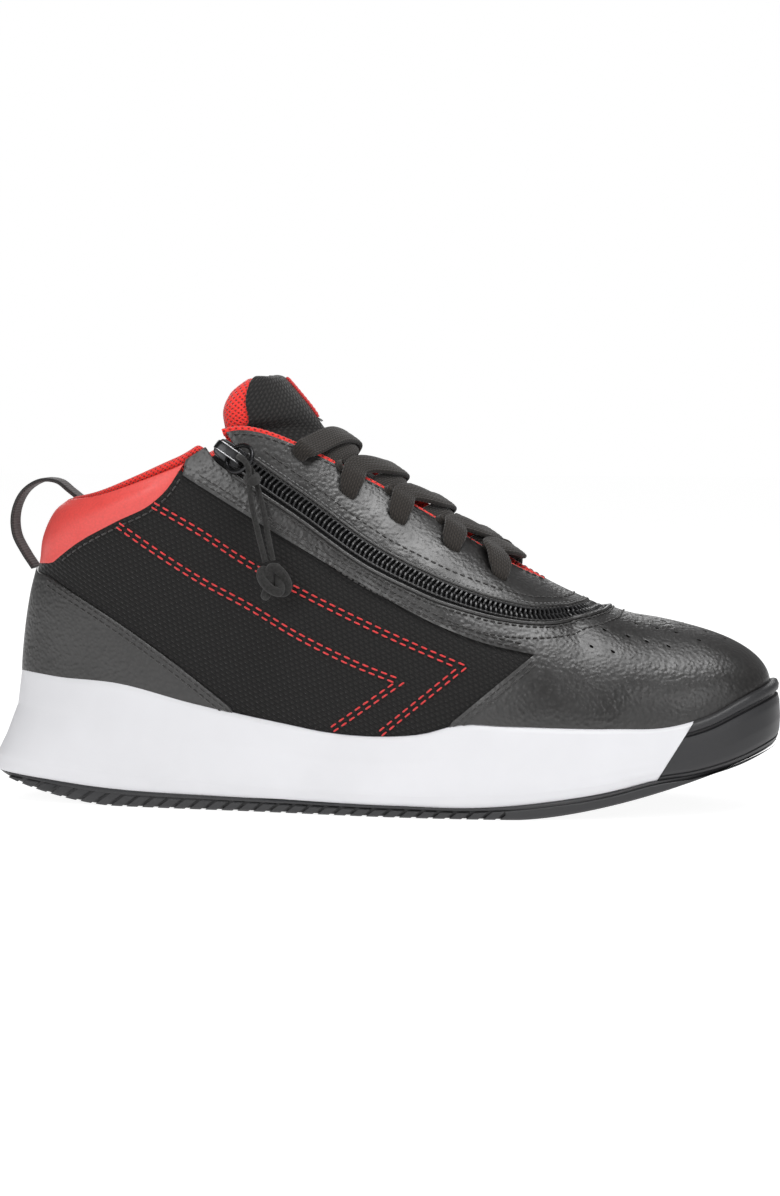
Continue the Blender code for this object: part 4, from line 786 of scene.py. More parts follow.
# ---- materials -----------------------------------------------------------
class Look:
    """A node-based material, built one step at a time."""

    def __init__(self, name, colour, rough, metallic=0.0, specular=.5):
        self.material = bpy.data.materials.new(name)
        self.material.use_nodes = True
        self.nodes = self.material.node_tree.nodes
        self.links = self.material.node_tree.links
        self.shader = self.nodes["Principled BSDF"]
        self.shader.inputs["Base Color"].default_value = (*colour, 1)
        self.shader.inputs["Roughness"].default_value = rough
        self.shader.inputs["Metallic"].default_value = metallic
        self.shader.inputs["Specular IOR Level"].default_value = specular
        self.height = None

    def set(self, **values):
        for key, value in values.items():
            self.shader.inputs[key.replace("_", " ")].default_value = value
        return self

    def coordinates(self, lay):
        """Pattern coordinates in millimetres, or the object's own in metres."""
        if lay:
            node = self.nodes.new("ShaderNodeAttribute")
            node.attribute_name = "lay"
            return node.outputs["Vector"]
        return self.nodes.new("ShaderNodeTexCoord").outputs["Object"]

    def math(self, kind, a, b=None, c=None):
        node = self.nodes.new("ShaderNodeMath")
        node.operation = kind
        for socket, value in zip(node.inputs, (a, b, c)):
            if value is None:
                continue
            if isinstance(value, (int, float)):
                socket.default_value = value
            else:
                self.links.new(value, socket)
        return node.outputs[0]

    def noise(self, scale, detail, rough=.5, lay=False):
        node = self.nodes.new("ShaderNodeTexNoise")
        node.inputs["Scale"].default_value = scale
        node.inputs["Detail"].default_value = detail
        node.inputs["Roughness"].default_value = rough
        self.links.new(self.coordinates(lay), node.inputs["Vector"])
        return node.outputs["Fac"]

    def cells(self, scale):
        """Soft round pebbles: distance to the nearest cell's middle."""
        node = self.nodes.new("ShaderNodeTexVoronoi")
        node.feature = "SMOOTH_F1"
        node.inputs["Scale"].default_value = scale
        self.links.new(self.coordinates(False), node.inputs["Vector"])
        return node.outputs["Distance"]

    def pattern(self, turn=0.0):
        """The two pattern coordinates of the piece, turned by some degrees."""
        turned = self.nodes.new("ShaderNodeMapping")
        turned.inputs["Rotation"].default_value = (0, 0, radians(turn))
        self.links.new(self.coordinates(True), turned.inputs["Vector"])
        split = self.nodes.new("ShaderNodeSeparateXYZ")
        self.links.new(turned.outputs["Vector"], split.inputs[0])
        return split.outputs[0], split.outputs[1]

    def staggered(self, value, pitch, across, across_pitch):
        """The same wave, moved by half a repeat in every other row."""
        row = self.math("FLOOR", self.math("DIVIDE", across, across_pitch))
        return self.wave(value, pitch, self.math("MULTIPLY", row, pi))

    def wave(self, value, pitch, phase=0.0):
        """A sine of a length in millimetres, from 0 to 1."""
        turned = self.math("MULTIPLY_ADD", value, 2 * pi / pitch, phase)
        return self.math("MULTIPLY_ADD", self.math("SINE", turned), .5, .5)

    def bump(self, height, strength, distance):
        node = self.nodes.new("ShaderNodeBump")
        node.inputs["Strength"].default_value = strength
        node.inputs["Distance"].default_value = distance * MM
        self.links.new(height, node.inputs["Height"])
        if self.height is not None:
            self.links.new(self.height, node.inputs["Normal"])
        self.height = node.outputs["Normal"]
        self.links.new(self.height, self.shader.inputs["Normal"])
        return self

    def ramp(self, value, stops, socket):
        """Drive a colour or a roughness from a value: stops are (position, colour or number)."""
        node = self.nodes.new("ShaderNodeValToRGB")
        for element, (place, level) in zip(node.color_ramp.elements, stops):
            element.position = place
            level = level if isinstance(level, tuple) else (level,) * 3
            element.color = (*level, 1)
        self.links.new(value, node.inputs[0])
        self.links.new(node.outputs[0], self.shader.inputs[socket])
        return self


def shade(colour, factor):
    return tuple(c * factor for c in colour)


def leather(name, colour, rough, grain=880, depth=.15, crease=.5):
    """Embossed leather: pebbles with fine creases between them, a little worn in gloss. Its colour holds
    painted light: painted highlight on the pebbles' crowns and painted shade in the creases, by the factor
    crease.
    """
    look = Look(name, colour, rough, specular=.85)
    pebbles = look.cells(grain)
    fine = look.noise(2600, 4)
    broad = look.noise(90, 2)
    look.bump(fine, .25, .05)
    look.bump(look.math("SUBTRACT", 1.0, pebbles), 1.0, depth)
    look.ramp(broad, [(.35, rough - .06), (.7, rough + .08)], "Roughness")
    # painted highlight on the pebbles' crowns, painted shade in the creases between them
    look.ramp(pebbles, [(.2, shade(colour, 1.12)), (.75, shade(colour, crease))], "Base Color")
    return look.material


def knit(name, colour, pitch=1.25, turn=32.0, depth=.22, rough=.78, lift=2.0):
    """Close mesh fabric: short raised yarns in staggered rows, with painted shade in the gaps between them
    and painted highlight on their raised tops.
    """
    look = Look(name, colour, rough, specular=.35)
    x, y = look.pattern(turn)
    yarn = look.staggered(x, pitch * 1.7, y, pitch)
    weave = look.math("MULTIPLY", look.wave(y, pitch), look.math("POWER", yarn, .6))
    look.bump(look.noise(9, 3, lay=True), .35, .05)
    look.bump(weave, 1.0, depth)
    # painted shade between the yarns, painted highlight on their raised tops by the factor lift
    look.ramp(weave, [(.1, shade(colour, .35)), (.85, shade(colour, lift))], "Base Color")
    return look.set(Sheen_Weight=.25, Sheen_Roughness=.4).material


def air_mesh(name, colour, pitch=1.9, depth=.5):
    """Spacer mesh: round dimples in staggered rows, with painted shade in the dimples that leaves the yarn
    between them lighter.
    """
    look = Look(name, colour, .8, specular=.3)
    x, y = look.pattern()
    a = look.wave(look.math("ADD", x, y), pitch)
    b = look.wave(look.math("SUBTRACT", x, y), pitch)
    holes = look.math("MULTIPLY", a, b)
    look.bump(look.noise(8, 3, lay=True), .4, .06)
    look.bump(look.math("SUBTRACT", 1.0, look.math("POWER", holes, 1.6)), 1.0, depth)
    # painted shade in the dimples
    look.ramp(holes, [(.35, shade(colour, 1.05)), (.95, shade(colour, .28))], "Base Color")
    return look.set(Sheen_Weight=.3, Sheen_Roughness=.5).material


def woven(name, colour, pitch_long, pitch_across, depth=.12, rough=.8, lift=1.7, sheen=.2):
    """Flat weave for laces, tapes and webbing: warp along the piece, weft across it, with painted shade
    between the threads and painted highlight on their raised parts.
    """
    look = Look(name, colour, rough, specular=.35)
    x, y = look.pattern()
    warp = look.wave(y, pitch_across)
    weft = look.staggered(x, pitch_long, y, pitch_across)
    weave = look.math("MULTIPLY", look.math("POWER", warp, .5), look.math("MULTIPLY_ADD", weft, .6, .4))
    look.bump(look.noise(6, 4, lay=True), .4, .06)
    look.bump(weave, 1.0, depth)
    # painted shade between the threads, painted highlight on their raised parts by the factor lift
    look.ramp(weave, [(.05, shade(colour, .4)), (.9, shade(colour, lift))], "Base Color")
    return look.set(Sheen_Weight=sheen, Sheen_Roughness=.5).material


def moulded(name, colour, rough, grain=1500, depth=.03, spread=.06):
    """Moulded rubber, foam or plastic with a fine spark-eroded texture."""
    look = Look(name, colour, rough)
    broad = look.noise(40, 3)
    look.bump(look.noise(grain, 2), .5, depth)
    look.ramp(broad, [(.3, rough - spread), (.75, rough + spread)], "Roughness")
    look.ramp(broad, [(.25, shade(colour, .95)), (.8, shade(colour, 1.03))], "Base Color")
    return look.material


def thread(name, colour, sheen=.3):
    """Twisted sewing thread, with painted shade in the grooves of the twist and painted highlight on its
    plies.
    """
    look = Look(name, colour, .6, specular=.4)
    x, y = look.pattern()
    ply = look.wave(look.math("ADD", x, y), .45)
    look.bump(ply, .8, .06)
    # painted shade in the twist's grooves, painted highlight on the plies
    look.ramp(ply, [(.1, shade(colour, .6)), (.8, shade(colour, 1.25))], "Base Color")
    return look.set(Sheen_Weight=sheen).material


def fuzzy(name, colour):
    """Soft braided cord."""
    look = Look(name, colour, .9, specular=.2)
    look.bump(look.noise(1700, 5, .7), .9, .22)
    look.ramp(look.noise(1300, 4, .7), [(.3, shade(colour, .45)), (.75, shade(colour, 2.2))], "Base Color")
    return look.set(Sheen_Weight=.12, Sheen_Roughness=.6).material


def plated(name, colour, rough):
    """Dark plated metal with rubbed places."""
    look = Look(name, colour, rough, metallic=1.0)
    worn = look.noise(260, 4, .6)
    look.ramp(worn, [(.35, rough - .1), (.7, rough + .15)], "Roughness")
    look.bump(look.noise(900, 2), .2, .02)
    return look.material


def finishes():
    """Every material, by name."""
    return {
        "leather": leather("pebbled_black_leather", (.0135, .0125, .012), .38),
        "red_leather": leather("soft_red_leather", (.70, .055, .045), .48, grain=1500, depth=.05, crease=.98),
        "mesh": knit("black_knit_mesh", (.0075, .0068, .0066), lift=1.5),
        "tongue_mesh": knit("black_tongue_mesh", (.0115, .0105, .010), pitch=1.15, turn=-38, depth=.2),
        "red_mesh": air_mesh("red_spacer_mesh", (.78, .03, .022)),
        "red_knit": air_mesh("red_knit_lining", (.75, .032, .024), pitch=1.3, depth=.25),
        "foam": moulded("white_midsole_foam", (.74, .74, .765), .52, depth=.012),
        "rubber": moulded("dark_grey_rubber", (.027, .027, .029), .50),
        "tape": woven("black_zip_tape", (.011, .011, .0115), 1.1, .7, .12),
        "teeth": moulded("black_zip_coil", (.02, .02, .021), .30, 900, .01),
        "metal": plated("black_nickel", (.045, .045, .047), .32),
        # lighter metal for the slider bridge's edge strips: painted highlight
        "edge_highlight_metal": plated("painted_highlight_nickel", (.42, .42, .43), .35),
        "lace": woven("brown_black_lace", (.0205, .0165, .0135), 1.3, .78, .20, .85, 1.6, .2),
        "cord": fuzzy("charcoal_cord", (.017, .0165, .016)),
        "webbing": woven("black_webbing", (.022, .0195, .0195), .9, 1.3, .22, .75, 2.1),
        "label": woven("red_woven_label", (.5, .03, .028), .8, .6, .1),
        "red_thread": thread("red_thread", (.75, .03, .03)),
        # black thread a little lighter than the leather: partly the thread's own dark tone, partly painted
        # highlight on the stitches
        "black_thread": thread("black_thread", (.034, .032, .031)),
        # grey thread: the label's loose ends, and the eyestay edge row where its light grey is painted
        # highlight
        "grey_thread": thread("grey_thread", (.16, .16, .16)),
        "board": moulded("fibre_board", (.42, .37, .30), .85, 700, .05),
        "insole": knit("insole_cloth", (.02, .02, .021), pitch=.9, turn=45, depth=.1),
    }


# ---- sole ----------------------------------------------------------------
def wall_block(name, wall, look):
    """The sole's side wall and foot cup as one closed block."""
    fractions = [row[0] for row in wall]
    steps = np.unique(np.concatenate([np.linspace(0, 1, 15), fractions]))
    loops = []
    for f in steps:
        heel, toe, inset = (np.interp(f, fractions, [row[k] for row in wall]) for k in (1, 2, 3))
        loops.append(ring(heel, toe, inset, lambda x, f=f: (1 - f) * rubber_top(x) + f * feather_top(x)))
    loops.append(feather_ring(-.9, lambda x: feather_top(x) + .15))
    loops.append(feather_ring(.5, lambda x: feather_top(x) - .5))
    loops.append(feather_ring(.5, cup_floor))
    return loft(name, loops, look, crease=65)


def prism(n):
    """The faces between two like outlines of n points."""
    return [tuple(range(n)), tuple(range(2 * n - 1, n - 1, -1)),
            *((i, n + i, n + (i + 1) % n, (i + 1) % n) for i in range(n))]


def side_prism(name, outline, look):
    """A cutter with a side-view outline, across the whole shoe."""
    verts = [(x, y, z) for y in (-80, 80) for x, z in outline]
    return make(name, verts, prism(len(outline)), look)


def cut(obj, tool, operation):
    """Take a cutter away from an object, or keep only what lies within it."""
    step = obj.modifiers.new("cut", "BOOLEAN")
    step.operation = operation
    step.solver = "EXACT"
    step.object = tool
    settle(obj)
    bpy.data.objects.remove(tool, do_unlink=True)
    obj.data.shade_smooth()
    obj.data.set_sharp_from_angle(angle=radians(40))
    return obj


def sole(finish):
    """Midsole, toe bumper, outsole plate with its herringbone tread and side lugs."""
    midsole = wall_block("midsole_foam", WALL, finish["foam"])
    cut(midsole, side_prism("gap", BUMPER_CUT, finish["rubber"]), "DIFFERENCE")
    on_body(midsole, "shoe", "midsole_white", "midsole")
    bumper = wall_block("toe_bumper", BUMPER_WALL, finish["rubber"])
    joint = [(x + .15, z) if x < TOE_X else (x, z) for x, z in BUMPER_CUT]
    cut(bumper, side_prism("keep", joint, finish["rubber"]), "INTERSECT")
    on_body(bumper, "shoe", "rubber_grey")
    loops = [ring(heel, toe, inset, lambda x, up=up: ground(x) + up) for heel, toe, inset, up in PLATE_FOOT]
    for f, inset in PLATE_SIDE:
        loops.append(ring(*PLATE, inset,
                          lambda x, f=f: (1 - f) * (ground(x) + 1.2) + f * (rubber_top(x) - .1)))
    plate = loft("outsole_plate", loops, finish["rubber"], crease=60)
    on_body(plate, "shoe", "rubber_grey", "outsole")
    tread(finish)
    lugs(finish)


def outline_q(x, ends):
    """q of the sole's outline where it reaches x, for the outline's heel and toe ends."""
    heel, toe = ends
    return np.arccos(np.clip(1 - 2 * (x - heel) / (toe - heel), -1, 1)) / pi


def bars(name, blocks, finish):
    """Closed bars, each a list of sections, in one mesh of the outsole."""
    verts, faces = [], []
    for rows in blocks:
        faces += tube(*rows.shape[:2], base=len(verts))
        verts += list(rows.reshape(-1, 3))
    on_body(make(name, verts, faces, finish["rubber"], crease=30), "shoe", "rubber_grey")


def tread(finish):
    """Herringbone bars under the sole, clipped to the outline."""
    blocks = []
    for x0 in np.arange(-114, 112, TREAD_PITCH):
        q = outline_q(x0, TREAD)
        low, high = (float(plan(q, side, *TREAD, TREAD_INSET)[1]) for side in (-1.0, 1.0))
        y = np.arange(low, high, TREAD_STEP)
        if len(y) < 3:
            continue
        x = x0 + ZIGZAG * (2 * np.abs((y / ZIGZAG_LENGTH) % 1 - .5) * 2 - 1)
        bar = [np.stack([x + off, y, ground(x + off) + up], -1) for off, up in TREAD_BAR]
        blocks.append(np.stack(bar, -2))
    bars("tread_bars", blocks, finish)


def edge_sections(low, high):
    """Sections of the outsole's edge blocks, their feet at low and their tops at high round the sole."""
    sections = []
    for f, inset in LUG_SECTION:
        q, side = fold(low + f * (high - low))
        x, y = plan(q, side, *PLATE, inset)
        sections.append(np.stack([x, y, ground(x) + .04 + f * (rubber_top(x) - RIM_T - ground(x))], -1))
    return np.stack(sections, -2)


def lugs(finish):
    """Slanted blocks along the outsole's edge, and a plain edge round the front."""
    blocks = []
    for side in (-1.0, 1.0):
        for x in np.arange(-121, LUG_END, LUG_PITCH):
            run = np.linspace(x, x + LUG_LENGTH, 5)
            rise = np.clip(rubber_top(run) - RIM_T - ground(run), .3, None)
            low, high = outline_q(run, PLATE), outline_q(run + LUG_SLANT * rise, PLATE)
            blocks.append(edge_sections(low, high) if side < 0 else edge_sections(2 - low, 2 - high))
    front = outline_q(LUG_END, PLATE)
    around = np.linspace(front, 2 - front, 150)
    blocks.append(edge_sections(around, around))
    bars("side_lugs", blocks, finish)


# ---- upper panels --------------------------------------------------------
def joined(runs):
    """Join open runs into one outline, each run resampled evenly."""
    return spaced(np.concatenate([resample(run, SHEET_STEP) for run in runs]), .12)


def level_run(start, end, t, count):
    """A run along the skin at one t, from one w to another."""
    return np.stack([np.linspace(start, end, count), np.full(count, t)], 1)


def seam_set(reach=0):
    """The shared seams heel, collar, band and vamp rear, all but the last moved by reach millimetres."""
    heel = edge_run(HEEL_EDGE, 40, first=(0, .485))
    heel = np.concatenate([heel, [[heel[-1, 0] + .002, PANEL_FOOT_T]]])
    collar = edge_run(COLLAR_EDGE, 40, first=(0, .497))
    rear = edge_run(VAMP_REAR, 24)
    rear = np.concatenate([rear, [[rear[-1, 0] - .004, PANEL_FOOT_T]]])
    heel, collar, band = shift(heel, reach), shift(collar, reach), shift(edge_run(BAND_EDGE, 60), reach)
    heel[0, 0], collar[0, 0] = 0, 0
    heel[-1, 1] = PANEL_FOOT_T
    return heel, collar, band, rear


def round_heel(run):
    """A seam from the medial end round the heel to its lateral end."""
    return np.concatenate([heel_side(run)[::-1], run[1:]])


def quarter_sheet(name, side, finish):
    """Mesh side panel; its edges run on under the leather pieces."""
    heel, collar = seam_set(-UNDERLAP)[0], seam_set(COLLAR_UNDERLAP)[1]
    band, rear = seam_set(UNDERLAP)[2], seam_set()[3][1:] + [.006, 0]
    outline = joined([collar, band[1:-1], rear, [rear[-1], heel[-1]], heel[::-1]])
    if side > 0:
        outline = heel_side(outline)
    sheet = cut_sheet(name, [outline], 0, finish["mesh"], puff=.5, reach=9, thick=1.3, edge=.2)
    return on_body(sheet, "shoe", "mesh_black", name.replace("_mesh", ""))


def heel_sheet(finish):
    """Leather round the heel, from side to side in one piece."""
    run = seam_set()[0]
    outline = joined([round_heel(run), level_run(run[-1, 0], -run[-1, 0], PANEL_FOOT_T, 90)])
    sheet = cut_sheet("heel_counter_leather", [outline], OVERLAY, finish["leather"], puff=.3, reach=6)
    return on_body(sheet, "shoe", "leather_black", "heel_overlay")


def collar_sheet(finish):
    """Soft red leather over the collar foam."""
    run = seam_set()[1]
    top_q = run[-1, 0] + .008
    outline = joined([round_heel(run), level_run(top_q, -top_q, COLLAR_RIM_T, 110)])
    sheet = cut_sheet("collar_leather", [outline], -.1, finish["red_leather"], puff=1.5, reach=7, thick=1.2)
    return on_body(sheet, "shoe", "leather_red", "collar_panel")


def both_holes(points, radius, count=12):
    """Round holes at points seen from the side, on both sides of the shoe."""
    spots = on_skin(points)
    spots = spots[spots[:, 1] < .985]
    return [circle_on_skin(w, t, radius, count) for mirror in (spots, medial(spots)) for w, t in mirror]


def vamp_sheet(finish):
    """Toe box and side bands in one piece of pebbled leather, with its vent holes."""
    lateral_run, medial_run = split_path(shift(zip_whole(), -BAND_LAP))
    lateral_run = start_at(lateral_run, BAND_TOP_T)
    fold_run = medial(start_at(shift(fold_line(), -FOLD_LAP), BAND_TOP_T))[::-1]
    medial_run = medial_run[medial_run[:, 0] < fold_run[0, 0] - .01]
    ridge = level_run(lateral_run[-1, 0], 2 - lateral_run[-1, 0], 1, 26)
    band, rear = seam_set()[2:]
    corner = [band[0, 0] + .004, BAND_TOP_T]
    back_end = np.array([band[0], corner])
    before = [[corner, lateral_run[0]], lateral_run]
    after = [medial_run, fold_run, [fold_run[-1], [2 - corner[0], corner[1]]], medial(back_end)[::-1],
             medial(band[1:]), medial(rear[1:]),
             level_run(2 - rear[-1, 0], rear[-1, 0], PANEL_FOOT_T, 160)[1:-1],
             rear[1:][::-1], band[1:][::-1], back_end]
    before, after = ([resample(run, SHEET_STEP) for run in runs] for runs in (before, after))
    outline = spaced(np.concatenate([*before, ridge[1:-1], *after]))
    holes = both_holes(PERFORATIONS, PERFORATION_R)
    sheet = cut_sheet("vamp_leather", [outline], OVERLAY, finish["leather"], holes=holes)
    on_body(sheet, "shoe", "leather_black", "vamp")


def throat_edges(zip_lap, fold_lap, count=54):
    """Lateral and medial outlines of a flap piece, joined along the ridge."""
    lateral_run, medial_run = split_path(shift(zip_whole(), zip_lap))
    front = lateral_run[-1, 0]
    lateral_run = start_at(lateral_run, 1.0)
    fold_run = medial(start_at(shift(fold_line(), fold_lap), 1.0))[::-1]
    medial_run = medial_run[medial_run[:, 0] < fold_run[0, 0] - .012]
    bridge = level_run(front, RIDGE_Q, 1, 7)
    left = level_run(RIDGE_Q, lateral_run[0, 0], 1, count)
    right = level_run(2 - RIDGE_Q, fold_run[-1, 0], 1, count)
    lateral_run, medial_run, fold_run = (
        resample(run, SHEET_STEP) for run in (lateral_run, medial_run, fold_run))
    return [spaced(np.concatenate(parts)) for parts in (
        [lateral_run, bridge[1:], left[1:]],
        [right[::-1][:-1], medial(bridge)[::-1], medial_run[1:], fold_run])]


def eyestay_sheet(finish):
    """The leather round the laces, its knit backing and the knit rim of the throat."""
    edges = throat_edges(EYESTAY_LAP, FOLD_LAP)
    holes = both_holes(EYELETS, EYELET_R, 16)
    sheet = cut_sheet("eyestay_leather", edges, -.35, finish["leather"], holes=holes)
    on_body(sheet, "throat_panel", "leather_black", "eyestay")
    back = cut_sheet("eyestay_knit", throat_edges(2.4, 2.0), 2.7, finish["red_knit"], thick=1.0, edge=.2)
    on_body(back, "throat_panel", "mesh_red", "eyestay_lining")
    q = np.linspace(CHAIN_FROM_Q, RIDGE_Q - .004, 90)
    for side, w in enumerate((q, 2 - q)):
        line = layer(w, np.full_like(w, .998), .75)
        rim = sweep(f"throat_rim_{side}", line, normal(w, np.ones_like(w)), lambda s: round_bar(1.2, 16),
                    finish["red_mesh"])
        on_body(rim, "throat_panel", "mesh_red")


# ---- collar, lining and insole -------------------------------------------
def periodic(points, count):
    """A smooth closed curve through a loop of points."""
    pts = np.asarray(points, float)
    wrapped = np.concatenate([pts[-2:], pts, pts[:3]])
    s = arc(wrapped)
    return smooth(s, wrapped, np.linspace(s[2], s[2 + len(pts)], count, endpoint=False))


def collar_roll(finish):
    """Foam-filled mesh roll along the collar, from the zip round the heel to the fold."""
    loop = periodic([(t * FLAT_T, depth) for t, depth in ROLL_SECTION], 40)
    centre, arcs = loop.mean(0), arc(loop)
    run = np.linspace(COLLAR_FROM, COLLAR_TO, 200)
    sections, lay = [], []
    for i, w in enumerate(run):
        end = min(i, len(run) - 1 - i)
        full = 1 - .55 * max(0, 1 - end / 5)**2
        now = centre + (loop - centre) * full
        sections.append(layer(np.full(len(now), w), now[:, 0] / FLAT_T, now[:, 1:]))
        lay += [(w * FLAT_W, a, 0) for a in arcs]
    roll = loft("collar_roll", sections, finish["red_mesh"], lay=lay, crease=180)
    on_body(roll, "shoe", "mesh_red", "collar_padding")


def lining_sock(finish):
    """Knit lining inside the whole upper, turned in over the insole board."""
    front = shift(zip_half(), -LINING_LAP)[-1, 0]
    even = np.linspace(0, 1, 121)
    q = np.sort(np.concatenate([even[np.abs(even - front) > .004], [front]]))
    w = np.concatenate([q, 2 - q[-2:0:-1]])
    rows = np.concatenate([[-1, -.5, 0], np.linspace(0, 1, 22)[1:]])[:, None]
    x = skin(w, 0)[:, 0]
    hem = 1 - LINING_HEM / (feather_top(x) - 1.3 - cup_floor(x))
    grid = rows * np.where(rows > 0, lining_top(w), hem)
    around = w[None].repeat(len(rows), 0)
    n, size = len(w), grid.size
    last = size - n
    faces = quads(len(rows), n)
    faces += [tuple(size + v for v in (face[0], *face[:0:-1])) for face in faces]
    for c in range(n):
        d = (c + 1) % n
        faces.append((c, size + c, size + d, d))
        if min(fold(w[c])[0], fold(w[d])[0]) < front - 1e-9:
            faces.append((last + c, last + d, size + last + d, size + last + c))
    lay = np.stack([around * FLAT_W, grid * FLAT_T, 0 * grid], -1).reshape(-1, 3)
    verts = np.concatenate([layer(around, grid, depth).reshape(-1, 3) for depth in LINING])
    sock = make("lining_sock", verts, faces, finish["red_knit"], np.concatenate([lay, lay]), weld=.004)
    on_body(sock, "shoe", "mesh_red", "lining")


def footbed(finish):
    """Cloth-covered foam insole with a rounded, slightly raised rim."""
    q = np.linspace(.004, .996, 150)
    lateral, medial_edge = (layer(w, np.full_like(w, -.5), INSOLE_INSET) for w in (q, 2 - q))
    across = np.linspace(0, 1, 33)
    top, bottom = [], []
    for a, b in zip(lateral, medial_edge):
        p = a + (b - a) * across[:, None]
        rim = np.abs(2 * across - 1)
        floor = cup_floor(p[:, 0]) + .6 + STROBEL_T
        level = INSOLE_T + .9 * rim**4 - 1.6 * np.clip((rim - .93) / .07, 0, 1)**2
        top.append(np.stack([p[:, 0], p[:, 1], floor + level], 1))
        bottom.append(np.stack([p[:, 0], p[:, 1], floor], 1))
    sections = [np.concatenate([t, b[::-1]]) for t, b in zip(top, bottom)]
    lay = [(p[0], p[1], 0) for section in sections for p in section]
    bed = loft("footbed", sections, finish["insole"], lay=lay, crease=60)
    on_body(bed, "shoe", "foam_black", "insole")


# ---- zip -----------------------------------------------------------------
def past_ridge(runs, lap, depth):
    """Points and outward directions lap millimetres to one side of two runs that meet on the ridge."""
    points, ups = [], []
    for first, run in enumerate(runs):
        moved = shift(run, lap)
        points.append(layer(*moved.T, depth)[min(first, 1):])
        ups.append(normal(*moved.T)[min(first, 1):])
    return np.concatenate(points), np.concatenate(ups)


def zip_lines(lap, depth, stop=CHAIN_END_GAP):
    """A line beside the chain, from below the slider to stop before the zip's end, in even steps."""
    path = zip_whole()
    lateral_run, medial_run = (resample(run, .8) for run in split_path(path))
    lateral_run = lateral_run[lateral_run[:, 0] > CHAIN_FROM_Q]
    medial_run = medial_run[medial_run[:, 0] < path[-1, 0] - stop]
    return past_ridge((lateral_run, medial_run), lap, depth)


def even_run(points, ups, pitch, offset):
    """Points and directions at an even pitch along a line."""
    s = arc(points)
    at = np.arange(offset, s[-1], pitch)
    return sampled(at, s, points), sampled(at, s, ups)


def tape(name, side, finish, body, node):
    """One side's woven tape under the leather edges."""
    laps = side * np.linspace(.04, TAPE_W, 9)
    rows = [zip_lines(lap, TAPE_DEPTH, TAPE_END_GAP) for lap in laps]
    top = np.array([p for p, _ in rows])
    deep = np.array([p - n * TAPE_T for p, n in rows])
    sections = np.concatenate([top, deep[::-1]]).transpose(1, 0, 2)
    lay = [(run, lap, 0) for run in arc(top[0]) for lap in (*laps, *laps[::-1])]
    on_body(loft(name, sections, finish["tape"], lay=lay, crease=40), body, "tape_black", node)


def coil(name, side, finish, body, node):
    """One side of the coil: interlocking loops that cross the middle line in turn."""
    middle, up = zip_lines(side * 1.15, .35)
    points, ups = even_run(middle, up, TOOTH_PITCH, TOOTH_PITCH / 2 if side > 0 else 0)
    ahead = unit(np.gradient(points, axis=0))
    slant = np.cross(ups, ahead) + ahead * .22 * side
    size = (TOOTH_L, TOOTH_W, TOOTH_T)
    beads(name, points, slant, ups, size, finish["teeth"], body, "chain_black", .2, node)
    edge = sweep(name + "_edge", *zip_lines(side * 2.55, .35), lambda s: round_bar(.5, 8), finish["teeth"])
    on_body(edge, body, "chain_black")
    grooves, groove_up = even_run(*zip_lines(side * 2.6, -.05), TOOTH_PITCH, .4)
    beads(name + "_stitches", grooves, np.gradient(grooves, axis=0), groove_up, (1.25, .5, .5),
          finish["black_thread"], body, "chain_black", .3)


def piping(name, path, lap, depth, radius, finish, body):
    """A turned or corded leather edge along the zip."""
    runs = [resample(run, 1.2) for run in split_path(shift(path, lap))]
    bar = sweep(name, *past_ridge(runs, 0, depth), lambda s: round_bar(radius, 12), finish["leather"])
    on_body(bar, body, "leather_black")


def zipper(finish):
    """Both tapes and coils, the leather edges beside them, and the patch at the medial end."""
    tape("zip_tape_lower", -1, finish, "shoe", "zip_tape_outer")
    tape("zip_tape_upper", 1, finish, "throat_panel", "zip_tape_inner")
    coil("zip_coil_lower", -1, finish, "shoe", "zip_chain_outer")
    coil("zip_coil_upper", 1, finish, "throat_panel", "zip_chain_inner")
    whole = zip_whole()
    trimmed = whole[whole[:, 0] < whole[-1, 0] - .008][3:]
    piping("band_piping", trimmed, -BAND_LAP + .1, -.85, .62, finish, "shoe")
    piping("eyestay_turned_edge", trimmed, EYESTAY_LAP, -.2, .5, finish, "throat_panel")
    zip_end(whole[-1], finish)


def zip_end(last, finish):
    """Leather patch under the stop that closes the zip's medial end."""
    outline = circle_on_skin(*last, END_PATCH_R, 28)
    outline[:, 1] = np.minimum(outline[:, 1], .985)
    patch = cut_sheet("zip_end_patch", [outline], 1.3, finish["leather"], thick=.5, edge=.12)
    on_body(patch, "shoe", "leather_black")


def block(name, origin, axes, outline, low, high, look, edge):
    """A plate with the given outline in its own plane, from low to high, with rounded edges."""
    u, v, out = axes
    verts = [origin + u * a + v * b + out * h for h in (low, high) for a, b in outline]
    obj = round_edges(make(name, verts, prism(len(outline)), look), edge, 40)
    obj.data.set_sharp_from_angle(angle=radians(60))
    return obj


def slider(finish, origin, axes):
    """The slider's plate, its two rails, and the bridge that holds the ring."""
    down, across, out = axes
    outline = [(a, -b) for a, b in SLIDER_OUTLINE] + SLIDER_OUTLINE[::-1]
    plate = block("slider_plate", origin, axes, outline, 0, 1.2, finish["metal"], .4)
    on_body(plate, "zip_slider", "metal_grey", "zip_slider")
    low, high, near, far = SLIDER_RAIL
    for side, mark in ((-1, "a"), (1, "b")):
        rail = [(low, side * near), (high, side * near), (high, side * far), (low, side * far)]
        bar = block(f"slider_rail_{mark}", origin, axes, rail, -.4, .4, finish["metal"], .15)
        on_body(bar, "zip_slider", "metal_grey")
    line = along([origin + down * a + out * h for a, h in BRIDGE], 40)
    bridge = sweep("slider_bridge", line, across, lambda s: rounded(.55, 1.5, 20, 5), finish["metal"])
    on_body(bridge, "zip_slider", "metal_grey")
    # thin strips of lighter metal along the bridge's two edges: painted highlight
    for side, mark in ((-1, "a"), (1, "b")):
        edge = sweep(f"slider_bridge_edge_{mark}", line + across * side * 1.42 + out * .38, across,
                     lambda s: round_bar(.19, 8), finish["edge_highlight_metal"])
        on_body(edge, "zip_slider", "metal_grey")


